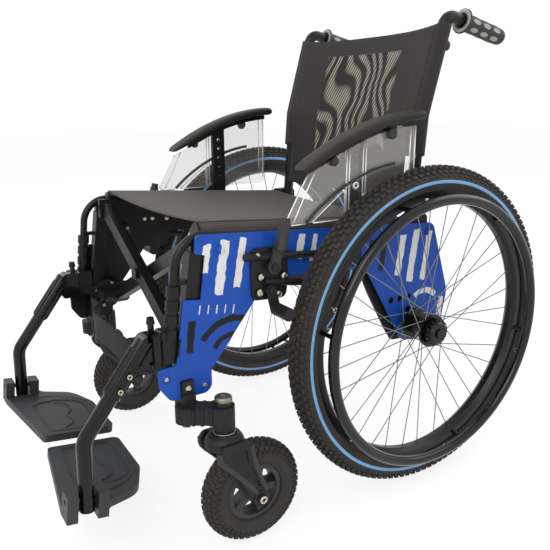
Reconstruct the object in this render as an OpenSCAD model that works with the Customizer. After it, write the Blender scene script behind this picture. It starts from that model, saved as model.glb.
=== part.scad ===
// All terrain folding wheelchair. Front is -Y, the chair's left is +X, up is +Z, floor at Z = 0.

/* [Rear wheel] */
// Radius over the tyre knobs
tyre_r = 305; // [290:1:320]
// Width of the tyre casing
tyre_w = 46; // [40:1:50]
// Distance from the middle of the chair to the middle of a rear tyre
half_track = 290; // [288:1:300]
// Height of the tread knobs
knob_h = 4; // [2:0.5:6]
// Knobs round one row of the tread
knob_count = 40; // [30:2:60]
// How far the handrim's middle line lies inside the rim's edge
handrim_in = 13; // [8:0.5:22]
// Radius of the handrim's tube
handrim_tube = 9.5; // [8:0.5:11]
// How far the handrim stands outside the tyre's middle plane
handrim_out = 45; // [40:1:52]
// Number of spokes, a multiple of four
spoke_count = 36; // [20:4:40]
// Radius of one spoke
spoke_r = 0.9; // [0.7:0.1:1]
// Radius of the rear axle
axle_r = 6.35; // [5:0.05:7]

/* [Caster] */
// Radius over the caster tyre's knobs
caster_r = 91; // [85:1:96]
// Width of the caster tyre casing
caster_w = 46; // [40:1:48]
// Distance from the middle of the chair to a caster's stem
caster_x = 284; // [282:1:292]
// How far the stem stands ahead of the rear axle
stem_ahead = 428; // [424:1:436]
// How far the caster axle trails behind its stem
caster_trail = 47; // [40:1:52]
// Radius of the caster axle
caster_axle_r = 5; // [4:0.5:6]

/* [Seat and back] */
// Height of the seat rail's middle line over the brace
seat_h = 527; // [522:1:535]
// Backward fall of the seat in degrees
seat_fall = 4.3; // [3:0.1:6]
// Distance from the middle of the chair to a seat rail
rail_x = 211; // [206:1:212]
// Length of a seat rail
rail_l = 424; // [400:1:428]
// Radius of the seat rails
rail_r = 12.5; // [11:0.5:13]
// Radius of the back posts
post_r = 11; // [10:0.5:12]
// Sag of the seat sling in the middle
seat_sag = 10; // [4:1:20]
// Sag of the back sling in the middle
back_sag = 24; // [10:1:35]
// Thickness of the sling cloth
cloth_t = 2.4; // [1.5:0.1:3]

/* [Frame] */
// Thickness of the side panel
panel_t = 4; // [3:0.5:5]
// Distance from the middle of the chair to the panel's outer face
panel_x = 244; // [243:0.5:246]
// Radius of the side tube
side_r = 7; // [6:0.5:7.5]
// Distance from the middle of the chair to the brace pivots
pivot_x = 190; // [184:1:194]
// Height of the lower brace pivots
pivot_low = 323; // [315:1:330]
// Height of the upper brace ends
pivot_high = 505; // [500:1:508]
// Radius of the brace pins
brace_pin_r = 6; // [5:0.5:7]

/* [Legrest] */
// Distance from the middle of the chair to a leg tube
leg_x = 226; // [222:1:228]
// Half width of the leg tube
leg_r = 12; // [10:0.5:13]
// Height of the left footplate's pin
foot_h = 133; // [126:1:140]
// How much higher the right footplate is set
foot_step = 17; // [17:1:24]
// Toe-up tilt of the footplates in degrees
foot_tilt = 7; // [4:0.5:10]
// Thickness of a footplate
foot_t = 14; // [10:0.5:15]
// Radius of the footplate pins
foot_pin_r = 4; // [3:0.5:5]

/* [Armrest] */
// Height of the arm pad's top at the back
pad_h = 704; // [698:1:712]
// Thickness of the arm pad
pad_t = 17; // [14:1:22]
// Width of the arm pad
pad_w = 46; // [40:1:50]
// Thickness of the clear side guard
guard_t = 3.5; // [3:0.5:4]

/* [Fits] */
// Radial running clearance of turning pins
run_gap = 0.05; // [0.03:0.01:0.08]
// Gap between faces that move past each other
face_gap = 0.4; // [0.3:0.1:0.6]

/* [Hidden] */
$fn = 48;
ARC_STEPS = 6;
SIDES = ["left", "right"];
SIDE_NODES = ["side_panel", "side_frame", "back_post", "push_grip", "brace_bracket", "axle",
    "rear_hub", "rear_spokes", "rear_rim", "rear_tyre", "handrim",
    "caster_arm", "caster_fork", "caster_axle", "caster_hub", "caster_tyre",
    "hanger", "leg_tube", "footplate", "arm_pad", "arm_post", "side_guard",
    "brake_base", "brake_lever", "brake_shoe", "panel_fittings"];
MIDDLE_NODES = ["left_seat_rail", "right_seat_rail", "brace_a", "brace_b", "seat_sling", "back_sling",
    "calf_strap"];

// The chair's length is centred on the origin: the footplates lead, the rear tyres trail
foot_y = -641;
lug_in = leg_r + 3.6;
lug_out = lug_in + 17;
foot_drop = 17;
lug_top = 12;
front_reach = -foot_y + lug_out * cos(foot_tilt) + (foot_drop + foot_t) * sin(foot_tilt);
axle_y = (front_reach - tyre_r) / 2;
axle_z = 305;
lift = tyre_r - axle_z;

// Rear wheel sections, as radius and as distance from the middle of the chair
rim_half = 14;
rim_out = tyre_r - 43;
rim_floor = rim_out - 11;
rim_in = rim_out - 21;
handrim_r = rim_out - handrim_in;
hub_in = 252;
hub_out = 330;
flange_r = 31;
flange_half = 2.5;
flange_x = [262, 309];

// Side frame lines, measured from the rear axle
side_x = 231.6;
side_front = [-472, 527];
side_rear = [18, 527 - 490 * tan(seat_fall)];
upright_foot = [-492, 350];
side_bend = [50];
collar = [0.48, 0.86];
collar_rings = 4;
post_low = [-474, 275];
post_high = [-441.5, 500];
post_half = 12.5;
post_x = [213, 238];
panel_in = panel_x - panel_t;
rail_back = -8;
rail_datum = -432;
rail_front = rail_back - rail_l;
rail_fall = tan(seat_fall);

// Spare axle positions in the panel, in steps from the axle
spare_r = 6.4;
spare_step = [22, 25];
spare_holes = [for (s = [[0, 1], [0, 2], [-1, 2], [-2, 2]]) [s[0] * spare_step[0], axle_z + s[1] * spare_step[1]]];

// Back post and push handle lines
back_x = 212;
back_points = [[18, 440], [38, 692], [88, 870], [236, 836]];
back_bend = [120, 22];
back_low = 532;
back_high = 847;
grip_start = 0.275;
grip_r = 15.5;

// Hanger lines
receiver_x = [206, 238];
receiver_y = [-506, -478];
receiver_z = [326, 378];
ear_t = 10;
hanger_pin = [236, -515];
knuckle_r = 8;
hanger_front = -540;
hanger_top = [-523, 378];
leg_knee = [-637, 228];
sleeve_end = 0.58;
sleeve_wall = 2.4;
knob_x = 215;
strap_z = [274, 326];

// Brace planes along Y; the lower ends are sleeves as wide as both arms
brace_a_y = [-454, -435];
brace_b_y = [-431, -412];
brace_half = 15;
brace_bar = 12.5;
brace_sleeve = [brace_a_y[0] - 1, brace_b_y[1] + 1];
brace_mid = [0, (brace_a_y[1] + brace_b_y[0]) / 2, (pivot_low + pivot_high) / 2];
bracket_in = 206;
gusset_back = -335;

// Caster lines; the caster's axle stays on the floor's level when the frame is lifted
caster_h = caster_r - lift;
stem_r = 8;
housing_z = [218, 258];
arm_z = [229, housing_z[1] - 1.5];
crown_z = 188;
arm_root = [250, -478];

// Armrest lines
arm_x = 251;
arm_y = -147;
arm_size = [9, 30];
guard_x = 256.3;
pad_x = 254;
pad_ends = [-264, -4];

// Brake lines
lever_pin = [-316, 462];
shoe_pin = [-322, 424];
shoe_at = [-314, 392];

function flat(v) = [v[0], v[1]];
function unit(v) = v / norm(v);
function mix(a, b, t) = a + (b - a) * t;

// Arc that rounds corner q between its neighbours p and r; q[2] is the radius
function corner_arc(p, q, r) =
    let (a = flat(q), u = unit(flat(p) - a), v = unit(flat(r) - a), half = acos(u * v) / 2,
         c = a + unit(u + v) * q[2] / sin(half), s = a + u * q[2] / tan(half) - c,
         turn = (u[0] * v[1] - u[1] * v[0] > 0 ? -1 : 1) * (180 - 2 * half), a0 = atan2(s[1], s[0]))
    [for (k = [0:ARC_STEPS]) c + q[2] * [cos(a0 + turn * k / ARC_STEPS), sin(a0 + turn * k / ARC_STEPS)]];

// Outline with every corner rounded by its own radius
function rounded(pts) = [for (i = [0:len(pts) - 1])
    each corner_arc(pts[(i + len(pts) - 1) % len(pts)], pts[i], pts[(i + 1) % len(pts)])];

// Toothed outline: block edges at r_out, gaps at r_in
function teeth(n, r_in, r_out, share = 0.6) = [for (i = [0:n - 1], k = [0:3])
    let (a = 360 / n * (i + [0, 0, share, share][k]), r = [r_in, r_out, r_out, r_in][k]) [r * cos(a), r * sin(a)]];

// Side outline (y, z) extruded along X
module plate_x(outline, x0, x1) {
    translate([x0, 0, 0]) rotate([90, 0, 90]) linear_extrude(x1 - x0) polygon(outline);
}

// Front outline (x, z) extruded along Y
module plate_y(outline, y0, y1) {
    translate([0, y1, 0]) rotate([90, 0, 0]) linear_extrude(y1 - y0) polygon(outline);
}

module rod_x(r, x0, x1) {
    translate([x0, 0, 0]) rotate([0, 90, 0]) cylinder(r = r, h = x1 - x0);
}

module rod_y(r, y0, y1) {
    translate([0, y1, 0]) rotate([90, 0, 0]) cylinder(r = r, h = y1 - y0);
}

// Straight rod between two points
module rod(p, q, r) {
    d = q - p;
    translate(p) rotate([0, acos(d[2] / norm(d)), atan2(d[1], d[0])]) cylinder(r = r, h = norm(d));
}

// Bent tube through points, with a bend radius for each inner one; the bends are a hair thicker, so that
// the straights end inside them
module bent_tube(pts, r, bends) {
    n = len(pts);
    lap = 1.5;
    cut = [for (i = [0:n - 1]) i == 0 || i == n - 1 ? 0 :
        bends[i - 1] * tan(acos(unit(pts[i] - pts[i - 1]) * unit(pts[i + 1] - pts[i])) / 2)];
    for (i = [0:n - 2]) {
        d = unit(pts[i + 1] - pts[i]);
        rod(pts[i] + d * (cut[i] - (i > 0 ? lap : 0)), pts[i + 1] - d * (cut[i + 1] - (i < n - 2 ? lap : 0)), r);
    }
    for (i = [1:n - 2]) {
        u = unit(pts[i] - pts[i - 1]);
        v = unit(pts[i + 1] - pts[i]);
        turn = acos(u * v);
        c = pts[i] + unit(v - u) * bends[i - 1] / cos(turn / 2);
        e = unit(pts[i] - u * cut[i] - c);
        w = cross(e, u);
        multmatrix([[e[0], u[0], w[0], c[0]], [e[1], u[1], w[1], c[1]], [e[2], u[2], w[2], c[2]], [0, 0, 0, 1]])
            rotate_extrude(angle = turn) translate([bends[i - 1], 0]) circle(r + 0.1);
    }
}

// Closed body lofted through rings that have equal point counts
module loft(rings) {
    n = len(rings[0]);
    m = len(rings);
    side = [for (j = [0:m - 2], i = [0:n - 1]) let (a = j * n + i, b = j * n + (i + 1) % n)
        each [[a, b, b + n], [a, b + n, a + n]]];
    ends = [for (i = [1:n - 2]) each [[0, i + 1, i], [(m - 1) * n, (m - 1) * n + i, (m - 1) * n + i + 1]]];
    polyhedron(points = [for (r = rings) each r], faces = concat(side, ends));
}

// Normal of a flat path at point i
function path_normal(p, i) = let (d = unit(p[min(i + 1, len(p) - 1)] - p[max(i - 1, 0)])) [-d[1], d[0]];

// Cloth: stations of 3D point pairs [outer, inner] joined into one closed sheet
module cloth(stations) {
    n = len(stations[0][0]);
    m = len(stations);
    points = [for (s = stations) each concat(s[0], s[1])];
    function id(j, s, i) = j * 2 * n + s * n + i;
    skins = [for (j = [0:m - 2], i = [0:n - 2]) each [
        [id(j, 0, i), id(j, 0, i + 1), id(j + 1, 0, i + 1)], [id(j, 0, i), id(j + 1, 0, i + 1), id(j + 1, 0, i)],
        [id(j, 1, i), id(j + 1, 1, i + 1), id(j, 1, i + 1)], [id(j, 1, i), id(j + 1, 1, i), id(j + 1, 1, i + 1)]]];
    hems = [for (i = [0:n - 2]) each [
        [id(0, 0, i), id(0, 1, i + 1), id(0, 0, i + 1)], [id(0, 0, i), id(0, 1, i), id(0, 1, i + 1)],
        [id(m - 1, 0, i), id(m - 1, 0, i + 1), id(m - 1, 1, i + 1)],
        [id(m - 1, 0, i), id(m - 1, 1, i + 1), id(m - 1, 1, i)]]];
    edges = [for (j = [0:m - 2]) each [
        [id(j, 0, 0), id(j + 1, 0, 0), id(j + 1, 1, 0)], [id(j, 0, 0), id(j + 1, 1, 0), id(j, 1, 0)],
        [id(j, 0, n - 1), id(j + 1, 1, n - 1), id(j + 1, 0, n - 1)],
        [id(j, 0, n - 1), id(j, 1, n - 1), id(j + 1, 1, n - 1)]]];
    polyhedron(points = points, faces = concat(skins, hems, edges));
}

// Everything is drawn from the rear axle and for the left side; a larger tyre lifts the frame
module side(s) {
    translate([0, axle_y, lift]) mirror([s == "left" ? 0 : 1, 0, 0]) children();
}

module middle() {
    translate([0, axle_y, lift]) children();
}

// Wheel pieces turn about X at the rear axle
module at_wheel() {
    translate([half_track, 0, axle_z]) rotate([0, 90, 0]) children();
}

module at_caster() {
    translate([caster_x, caster_trail - stem_ahead, caster_h]) rotate([0, 90, 0]) children();
}

// Brace pieces lean back with the seat, so that their pivots are parallel to the rails
module leaning() {
    translate(brace_mid) rotate([-seat_fall, 0, 0]) translate(-brace_mid) children();
}

function rail_z(y) = seat_h - (y - rail_datum) * rail_fall;

// Line of the back post at height z
function back_y(z) = lookup(z, [for (i = [0:2]) [back_points[i][1], back_points[i][0]]]);

// Top line of the arm pad and its thickness, both along y
function pad_top(y) = pad_h - 0.00124 * y * y;
function pad_thick(y) = pad_t * (1 - 0.5 * pow(max(0, -196 - y) / 68, 2));
function pad_under(y) = pad_top(y) - pad_thick(y);

module side_panel() {
    outline = rounded([[-447, 527, 8], [55, 495, 18], [104, 352, 44], [88, 270, 30], [-12, 266, 26],
        [-116, 437, 20], [-320, 437, 30], [-427, 304, 14], [-427, 266, 16], [-461, 266, 3], [-461, 297, 3],
        [-483, 297, 3], [-483, 266, 3], [-500, 266, 14], [-518, 292, 12], [-518, 323, 5], [-487, 324, 3],
        [-471, 428, 2], [-441, 424, 2], [-431, 494, 2], [-449, 498, 2]]);
    color("#2258B8") difference() {
        plate_x(outline, panel_in, panel_x);
        for (h = spare_holes) translate([0, h[0], h[1]]) rod_x(spare_r, panel_in - 1, panel_x + 1);
        translate([0, 0, axle_z]) rod_x(axle_r + run_gap, panel_in - 1, panel_x + 1);
    }
}

module side_frame() {
    tube = [[side_x, side_rear[0], side_rear[1]], [side_x, side_front[0], side_front[1]],
        [side_x, upright_foot[0], upright_foot[1]]];
    pin = [hanger_pin[0], hanger_pin[1], 0];
    color("#17181A") {
        bent_tube(tube, side_r, side_bend);
        // Ringed collar on the front upright
        for (i = [0:collar_rings - 1]) {
            t = mix(collar[0], collar[1], i / (collar_rings - 1));
            rod(mix(tube[1], tube[2], t - 0.045), mix(tube[1], tube[2], t + 0.045), side_r + 4.5);
        }
        rod(mix(tube[1], tube[2], collar[0]), mix(tube[1], tube[2], collar[1]), side_r + 2.5);
        plate_x([[post_low[0] - post_half, post_low[1]], [post_low[0] + post_half, post_low[1]],
            [post_high[0] + post_half, post_high[1]], [post_high[0] - post_half, post_high[1]]], post_x[0], post_x[1]);
        plate_x(rounded([[receiver_y[0], receiver_z[0], 4], [receiver_y[1], receiver_z[0], 4],
            [receiver_y[1], receiver_z[1], 4], [receiver_y[0], receiver_z[1], 4]]), receiver_x[0], receiver_x[1]);
        // Ears and hinge pin of the swing-away hanger
        for (z = [receiver_z[0], receiver_z[1] - ear_t]) translate(pin + [0, 0, z]) {
            cylinder(r = knuckle_r, h = ear_t);
            translate([-knuckle_r, 0, 0]) cube([knuckle_r + 2, receiver_y[0] + 4 - pin[1], ear_t]);
        }
        translate(pin + [0, 0, receiver_z[0]]) cylinder(r = 4, h = receiver_z[1] - receiver_z[0]);
        // Link between the front upright and the square post, and the post's tab under the side tube
        plate_x([[-482, 450], [-454, 450], [-453, 457], [-481, 457]], side_x - 4, side_x + 4);
        plate_x([[-452, 496], [-433, 496], [-431, 520], [-450, 522]], side_x - 6.4, side_x + 5.6);
        // Gusset that holds the back post in a saddle
        difference() {
            plate_x(rounded([[-30, 446, 8], [44, 446, 8], [44, 512, 8], [-4, 512, 6], [-4, 478, 6], [-30, 472, 6]]),
                back_x + 4, post_x[1]);
            rod([back_x, back_points[0][0], back_points[0][1]], [back_x, back_points[1][0], back_points[1][1]],
                post_r + 0.02);
        }
        // Strip that the panel is screwed to
        plate_x(rounded([[-436, 494, 6], [-30, 463, 6], [-30, 491, 6], [-436, 522, 6]]), side_x - 1, panel_in);
    }
}

module back_post() {
    color("#17181A") bent_tube([for (p = back_points) [back_x, p[0], p[1]]], post_r, back_bend);
}

module push_grip() {
    n = len(back_points);
    a = back_points[n - 2];
    b = back_points[n - 1];
    p = mix(a, b, grip_start);
    d = b - a;
    l = norm(b - p);
    color("#26282A") translate([back_x, p[0], p[1]]) rotate([-90 + atan2(d[1], d[0]), 0, 0])
        rotate_extrude() polygon([[post_r + 0.02, 0], [17.5, 0], [17.5, 5], [grip_r - 1, 7], [grip_r, 30], [grip_r, l - 6],
            [grip_r - 3, l + 4], [0, l + 5], [0, l + 0.02], [post_r + 0.02, l + 0.02]]);
}

module brace_bracket() {
    ears = [[brace_sleeve[0] - 10, brace_sleeve[0] - face_gap], [brace_sleeve[1] + face_gap, brace_sleeve[1] + 10]];
    color("#1B1C1E") {
        plate_x(rounded([[-478, pivot_low - 22, 5], [ears[1][1], pivot_low - 22, 5], [ears[1][1], pivot_low + 22, 5],
            [-478, pivot_low + 22, 5]]), bracket_in, post_x[0]);
        translate([0, -447, pivot_low]) rod_x(30, bracket_in, post_x[0]);
        leaning() translate([pivot_x, 0, pivot_low]) {
            for (e = ears) {
                rod_y(12, e[0], e[1]);
                translate([0, e[0], -11.5]) cube([bracket_in + 1 - pivot_x, e[1] - e[0], 23]);
            }
            rod_y(brace_pin_r, ears[0][0] - 3, ears[1][1] + 3);
        }
        for (q = [[-1, -1], [-1, 1], [1, -1], [1, 1]])
            translate([0, -447 + 18 * q[0], pivot_low + 18 * q[1]]) rod_x(3.2, bracket_in - 1.6, bracket_in + 1);
    }
}

module axle() {
    color("#B9BDC1") translate([0, 0, axle_z]) {
        rod_x(axle_r, 230, hub_out + face_gap + 1);
        rod_x(11, 231, panel_in);
        rod_x(14, panel_x, hub_in - face_gap);
        rod_x(9, hub_out + face_gap, hub_out + 4);
    }
}

module rear_hub() {
    bore = axle_r + run_gap;
    f = [for (x = flange_x) x - half_track];
    a = hub_in - half_track;
    b = hub_out - half_track;
    color("#1C1D1F") at_wheel() {
        rotate_extrude() polygon([[bore, a], [15, a], [17, a + 4], [17, f[0] - flange_half], [flange_r, f[0] - flange_half],
            [flange_r, f[0] + flange_half], [17, f[0] + flange_half], [17, f[1] - flange_half],
            [flange_r, f[1] - flange_half], [flange_r, f[1] + flange_half], [20, f[1] + flange_half], [20, b - 12],
            [22, b - 12], [22, b - 4], [18, b], [bore, b]]);
        // Serrated cap
        difference() {
            translate([0, 0, b - 12]) linear_extrude(7) polygon(teeth(18, 22.5, 25));
            translate([0, 0, b - 13]) cylinder(r = 21, h = 9);
        }
    }
}

// Crossed spokes: each flange has leading and trailing ones in two planes
module rear_spokes() {
    color("#C8CCD0") at_wheel() for (i = [0:spoke_count - 1]) {
        a = 360 / spoke_count * i;
        f = flange_x[i % 2] - half_track;
        lead = floor(i / 2) % 2 == 0 ? 1 : -1;
        h = a + 60 * lead;
        rod([27 * cos(h), 27 * sin(h), f + 1.5 * lead],
            [(rim_in + 3) * cos(a), (rim_in + 3) * sin(a), f > 0 ? 1.5 : -1.5], spoke_r);
    }
}

module rear_rim() {
    half = [[rim_in, 6], [rim_in + 6, rim_half], [rim_out, rim_half], [rim_out, rim_half - 2.5],
        [rim_floor, rim_half - 2.5]];
    color("#141516") at_wheel() rotate_extrude() polygon(concat(half,
        [for (i = [len(half) - 1:-1:0]) [half[i][0], -half[i][1]]]));
}

// Round section of a tyre as a many-sided outline, so that the knobs meet cones and cylinders
function round_section(c, r, n = 20) = [for (i = [0:n - 1]) [c + r * cos(360 / n * (i + 0.5)), r * sin(360 / n * (i + 0.5))]];

module rear_tyre() {
    c = tyre_r - knob_h - tyre_w / 2;
    color("#1D1B19") at_wheel() {
        difference() {
            rotate_extrude() polygon(round_section(c, tyre_w / 2));
            rotate_extrude() polygon(round_section(c, tyre_w / 2 - 5));
            translate([0, 0, -rim_half]) cylinder(r = rim_out, h = 2 * rim_half);
        }
        // Centre row, and shoulder rows set half a step on
        tread(c, [-6, 6], tyre_r - knob_h - 3, tyre_r);
        for (s = [-1, 1]) rotate([0, 0, 180 / knob_count])
            tread(c, s > 0 ? [9, 19] : [-19, -9], tyre_r - knob_h - 7, tyre_r - 4);
    }
}

// One row of knobs between two planes
module tread(c, z, r_in, r_out) {
    difference() {
        translate([0, 0, z[0]]) linear_extrude(z[1] - z[0]) polygon(teeth(knob_count, r_in, r_out));
        translate([0, 0, z[0] - 1]) cylinder(r = c + 12, h = z[1] - z[0] + 2);
    }
}

module handrim() {
    color("#101112") at_wheel() {
        rotate_extrude() translate([handrim_r, handrim_out]) circle(handrim_tube);
        for (i = [0:5]) rotate([0, 0, 60 * i + 20]) translate([handrim_r + 4, 0, rim_half])
            cylinder(r = 4, h = handrim_out - rim_half - 5);
    }
}

module caster_arm() {
    stem = [caster_x, -stem_ahead];
    d = stem - arm_root;
    color("#1B1C1E") difference() {
        union() {
            translate([arm_root[0], arm_root[1], arm_z[0]]) rotate([0, 0, atan2(d[1], d[0])]) {
                translate([0, -16, 0]) cube([norm(d), 32, arm_z[1] - arm_z[0]]);
                for (k = [1:3], s = [-1, 1]) translate([k * 14, 16 * s, 0]) cylinder(r = 3, h = arm_z[1] - arm_z[0]);
            }
            translate([arm_root[0], arm_root[1], arm_z[0]]) cylinder(r = 17.5, h = arm_z[1] - arm_z[0]);
            translate([stem[0], stem[1], housing_z[0]]) cylinder(r = 18, h = housing_z[1] - housing_z[0]);
            // Tab through the panel's notch, on the face of the square post
            translate([post_x[1], -482, arm_z[0]]) cube([12, 20, 296 - arm_z[0]]);
            translate([post_x[0] + 3, -482, arm_z[0]]) cube([40, 20, post_low[1] - arm_z[0]]);
            translate([arm_root[0], arm_root[1], arm_z[0] - 7]) cylinder(r = 7, h = 8);
        }
        translate([stem[0], stem[1], housing_z[0] - 20]) cylinder(r = stem_r + run_gap, h = 80);
    }
}

// Fork with a domed crown; each leg has a teardrop recess and a round boss at the axle
module caster_fork() {
    stem = [caster_x, -stem_ahead, 0];
    y = caster_trail;
    leg = rounded([[-29, crown_z + 16, 12], [28, crown_z + 16, 14], [36, crown_z - 22, 40], [y + 13.5, caster_h + 12, 20],
        [y + 12, caster_h - 12, 10], [y - 12, caster_h - 12, 10], [4, 146, 40], [-29, crown_z - 8, 18]]);
    drop = rounded([[-16, crown_z + 4, 8], [20, crown_z + 4, 8], [25, crown_z - 24, 24], [y + 4, caster_h + 24, 2.5],
        [y - 5, caster_h + 24, 2.5], [8, 158, 24]]);
    color("#1B1C1E") translate(stem) difference() {
        union() {
            translate([0, 0, crown_z + 2]) cylinder(r = stem_r, h = housing_z[1] + 4 - crown_z);
            translate([0, 0, housing_z[1] + face_gap]) cylinder(r = 14, h = 13.6);
            rotate_extrude() polygon([[0, crown_z], [32, crown_z], [33, crown_z + 6], [31, crown_z + 13],
                [27, crown_z + 19], [20.5, crown_z + 23.5], [15, crown_z + 25], [15, housing_z[0] - face_gap],
                [0, housing_z[0] - face_gap]]);
            for (s = [-1, 1]) {
                plate_x(leg, s > 0 ? 29 : -36, s > 0 ? 36 : -29);
                translate([0, y, caster_h]) rod_x(15, s > 0 ? 29 : -37.4, s > 0 ? 37.4 : -29);
            }
        }
        for (x = [[34, 40], [-40, -34]]) plate_x(drop, x[0], x[1]);
        translate([0, y, caster_h]) rod_x(caster_axle_r + 0.02, -40, 40);
    }
}

module caster_axle() {
    color("#B9BDC1") translate([caster_x, caster_trail - stem_ahead, caster_h]) {
        rod_x(caster_axle_r, -38, 38);
        rod_x(8, 37.4, 41);
        rod_x(8, -41, -37.4);
    }
}

module caster_hub() {
    w = 28.6;
    color("#202123") at_caster() difference() {
        union() {
            translate([0, 0, -w]) cylinder(r = 12, h = 2 * w);
            difference() {
                translate([0, 0, -15]) cylinder(r = 50, h = 30);
                translate([0, 0, -16]) cylinder(r = 42, h = 32);
            }
            translate([0, 0, -18]) cylinder(r = 17, h = 36);
            for (i = [0:4]) rotate([0, 0, 72 * i + 18]) translate([13, -6, -12]) cube([31, 12, 24]);
        }
        translate([0, 0, -w - 1]) cylinder(r = caster_axle_r + run_gap, h = 2 * w + 2);
    }
}

module caster_tyre() {
    c = caster_r - 2 - caster_w / 2;
    color("#1D1B19") at_caster() difference() {
        union() {
            rotate_extrude() polygon(round_section(c, caster_w / 2));
            difference() {
                translate([0, 0, -11]) linear_extrude(22) polygon(teeth(36, c + caster_w / 2 - 5, caster_r));
                translate([0, 0, -12]) cylinder(r = c + 10, h = 24);
            }
        }
        translate([0, 0, -30]) cylinder(r = 50, h = 60);
    }
}

// Hanger: block with the knuckle, fluted sleeve and release knob
module hanger() {
    a = [leg_x, hanger_top[0], hanger_top[1]];
    b = [leg_x, leg_knee[0], leg_knee[1]];
    pin = [hanger_pin[0], hanger_pin[1], 0];
    rear = receiver_y[0] - 0.5;
    t0 = 0.2;
    dir = unit(b - a);
    color("#1B1C1E") difference() {
        union() {
            plate_x(rounded([[hanger_front, receiver_z[0], 4], [rear, receiver_z[0], 4], [rear, receiver_z[1], 4],
                [hanger_front, receiver_z[1], 12]]), receiver_x[0] + 2, hanger_pin[0]);
            translate(pin + [0, 0, receiver_z[0]]) cylinder(r = knuckle_r, h = receiver_z[1] - receiver_z[0]);
            rod(a + dir * 12, mix(a, b, sleeve_end), leg_r + sleeve_wall);
            for (i = [0:9]) translate((leg_r + sleeve_wall) * (cos(36 * i + 18) * [1, 0, 0] + sin(36 * i + 18) *
                [0, -dir[2], dir[1]])) rod(a + dir * 28, mix(a, b, sleeve_end - 0.02), 1.7);
            translate([knob_x, hanger_pin[1], receiver_z[1] - 3]) cylinder(r = 5, h = 19);
            translate([knob_x, hanger_pin[1], receiver_z[1] + 13]) cylinder(r1 = 7, r2 = 5.5, h = 10);
            for (t = [0.36, 0.5]) translate([0, mix(a, b, t)[1], mix(a, b, t)[2]])
                rod_x(5, leg_x + leg_r - 3, leg_x + leg_r + 7);
        }
        rod(mix(a, b, t0), mix(a, b, 1), leg_r + 0.02);
        translate(pin) cylinder(r = 4 + run_gap, h = 500);
        // Room for the receiver's ears through the swing
        for (z = [receiver_z[0] - 10, receiver_z[1] - ear_t - face_gap])
            translate(pin + [0, 0, z]) cylinder(r = 13.5, h = ear_t + 10 + face_gap);
    }
}

// Leg with the pin that the footplate turns on
module leg_tube(s) {
    pts = [[leg_x, 0, 0] + [0, mix(hanger_top, leg_knee, 0.22)[0], mix(hanger_top, leg_knee, 0.22)[1]],
        [leg_x, leg_knee[0], leg_knee[1]], [leg_x, foot_y, pin_h(s) - 21]];
    color("#17181A") {
        bent_tube(pts, leg_r, [40]);
        at_foot(s) rod_y(foot_pin_r, -lug_out + 1, lug_out - 1);
    }
}

function pin_h(s) = foot_h + (s == "left" ? 0 : foot_step);

module at_foot(s) {
    translate([leg_x, foot_y, pin_h(s)]) rotate([-foot_tilt, 0, 0]) children();
}

module footplate(s) {
    low = -foot_drop - foot_t;
    inner = 7 - leg_x;
    outline = rounded([[inner, -5, 8], [inner, 127, 12], [-92, 124, 44], [-30, 98, 48], [-8, lug_out + 8, 16], [15, lug_out, 4],
        [15, -lug_out, 6], [-20, -lug_out, 14]]);
    sole = rounded([[inner + 14, 12, 12], [inner + 14, 106, 20], [-80, 100, 30], [-62, 50, 20], [-74, 4, 14]]);
    color("#2A2B2D") at_foot(s) difference() {
        union() {
            translate([0, 0, low]) linear_extrude(foot_t) polygon(outline);
            for (y = [-lug_out, lug_in]) translate([-16, y, low]) cube([31, lug_out - lug_in, lug_top - low]);
        }
        translate([-foot_drop + 1.5, -lug_in, low - 1]) cube([60, 2 * lug_in, 80]);
        translate([0, 0, -foot_drop - 1.2]) linear_extrude(5) polygon(sole);
        rod_y(foot_pin_r + run_gap, -60, 60);
    }
}

module arm_pad() {
    ys = [for (i = [0:16]) mix(pad_ends[0], pad_ends[1], i / 16)];
    rings = [for (i = [0:16]) let (y = ys[i], e = min(i, 16 - i), k = e == 0 ? 0.72 : e == 1 ? 0.94 : 1,
            hz = pad_thick(y) / 2 * k, hx = pad_w / 2 * k)
        [for (j = [0:15]) let (a = 22.5 * j + 11.25, u = cos(a), v = sin(a))
            [pad_x + hx * sign(u) * pow(abs(u), 0.6), y, pad_top(y) - pad_thick(y) / 2 + hz * sign(v) * pow(abs(v), 0.7)]]];
    color("#3A3B35") loft([for (r = rings) [for (i = [15:-1:0]) r[i]]]);
}

module arm_post() {
    ys = [for (i = [0:8]) mix(-222, -22, i / 8)];
    x0 = arm_x - arm_size[0] / 2;
    x1 = arm_x + arm_size[0] / 2;
    y0 = arm_y - arm_size[1] / 2;
    y1 = arm_y + arm_size[1] / 2;
    color("#17181A") difference() {
        union() {
            plate_x([[y0, 440], [y1, 440], [y1, pad_under(y1) - 4], [y0, pad_under(y0) - 4]], x0, x1);
            plate_x(concat([for (y = ys) [y, pad_under(y) - 0.3]], [for (i = [8:-1:0]) [ys[i], pad_under(ys[i]) - 9]]), x0, x1);
        }
        for (i = [0:4]) translate([0, arm_y, pad_under(arm_y) - 26 - 20 * i]) rod_x(3.6, x0 - 1, x1 + 1);
    }
}

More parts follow.
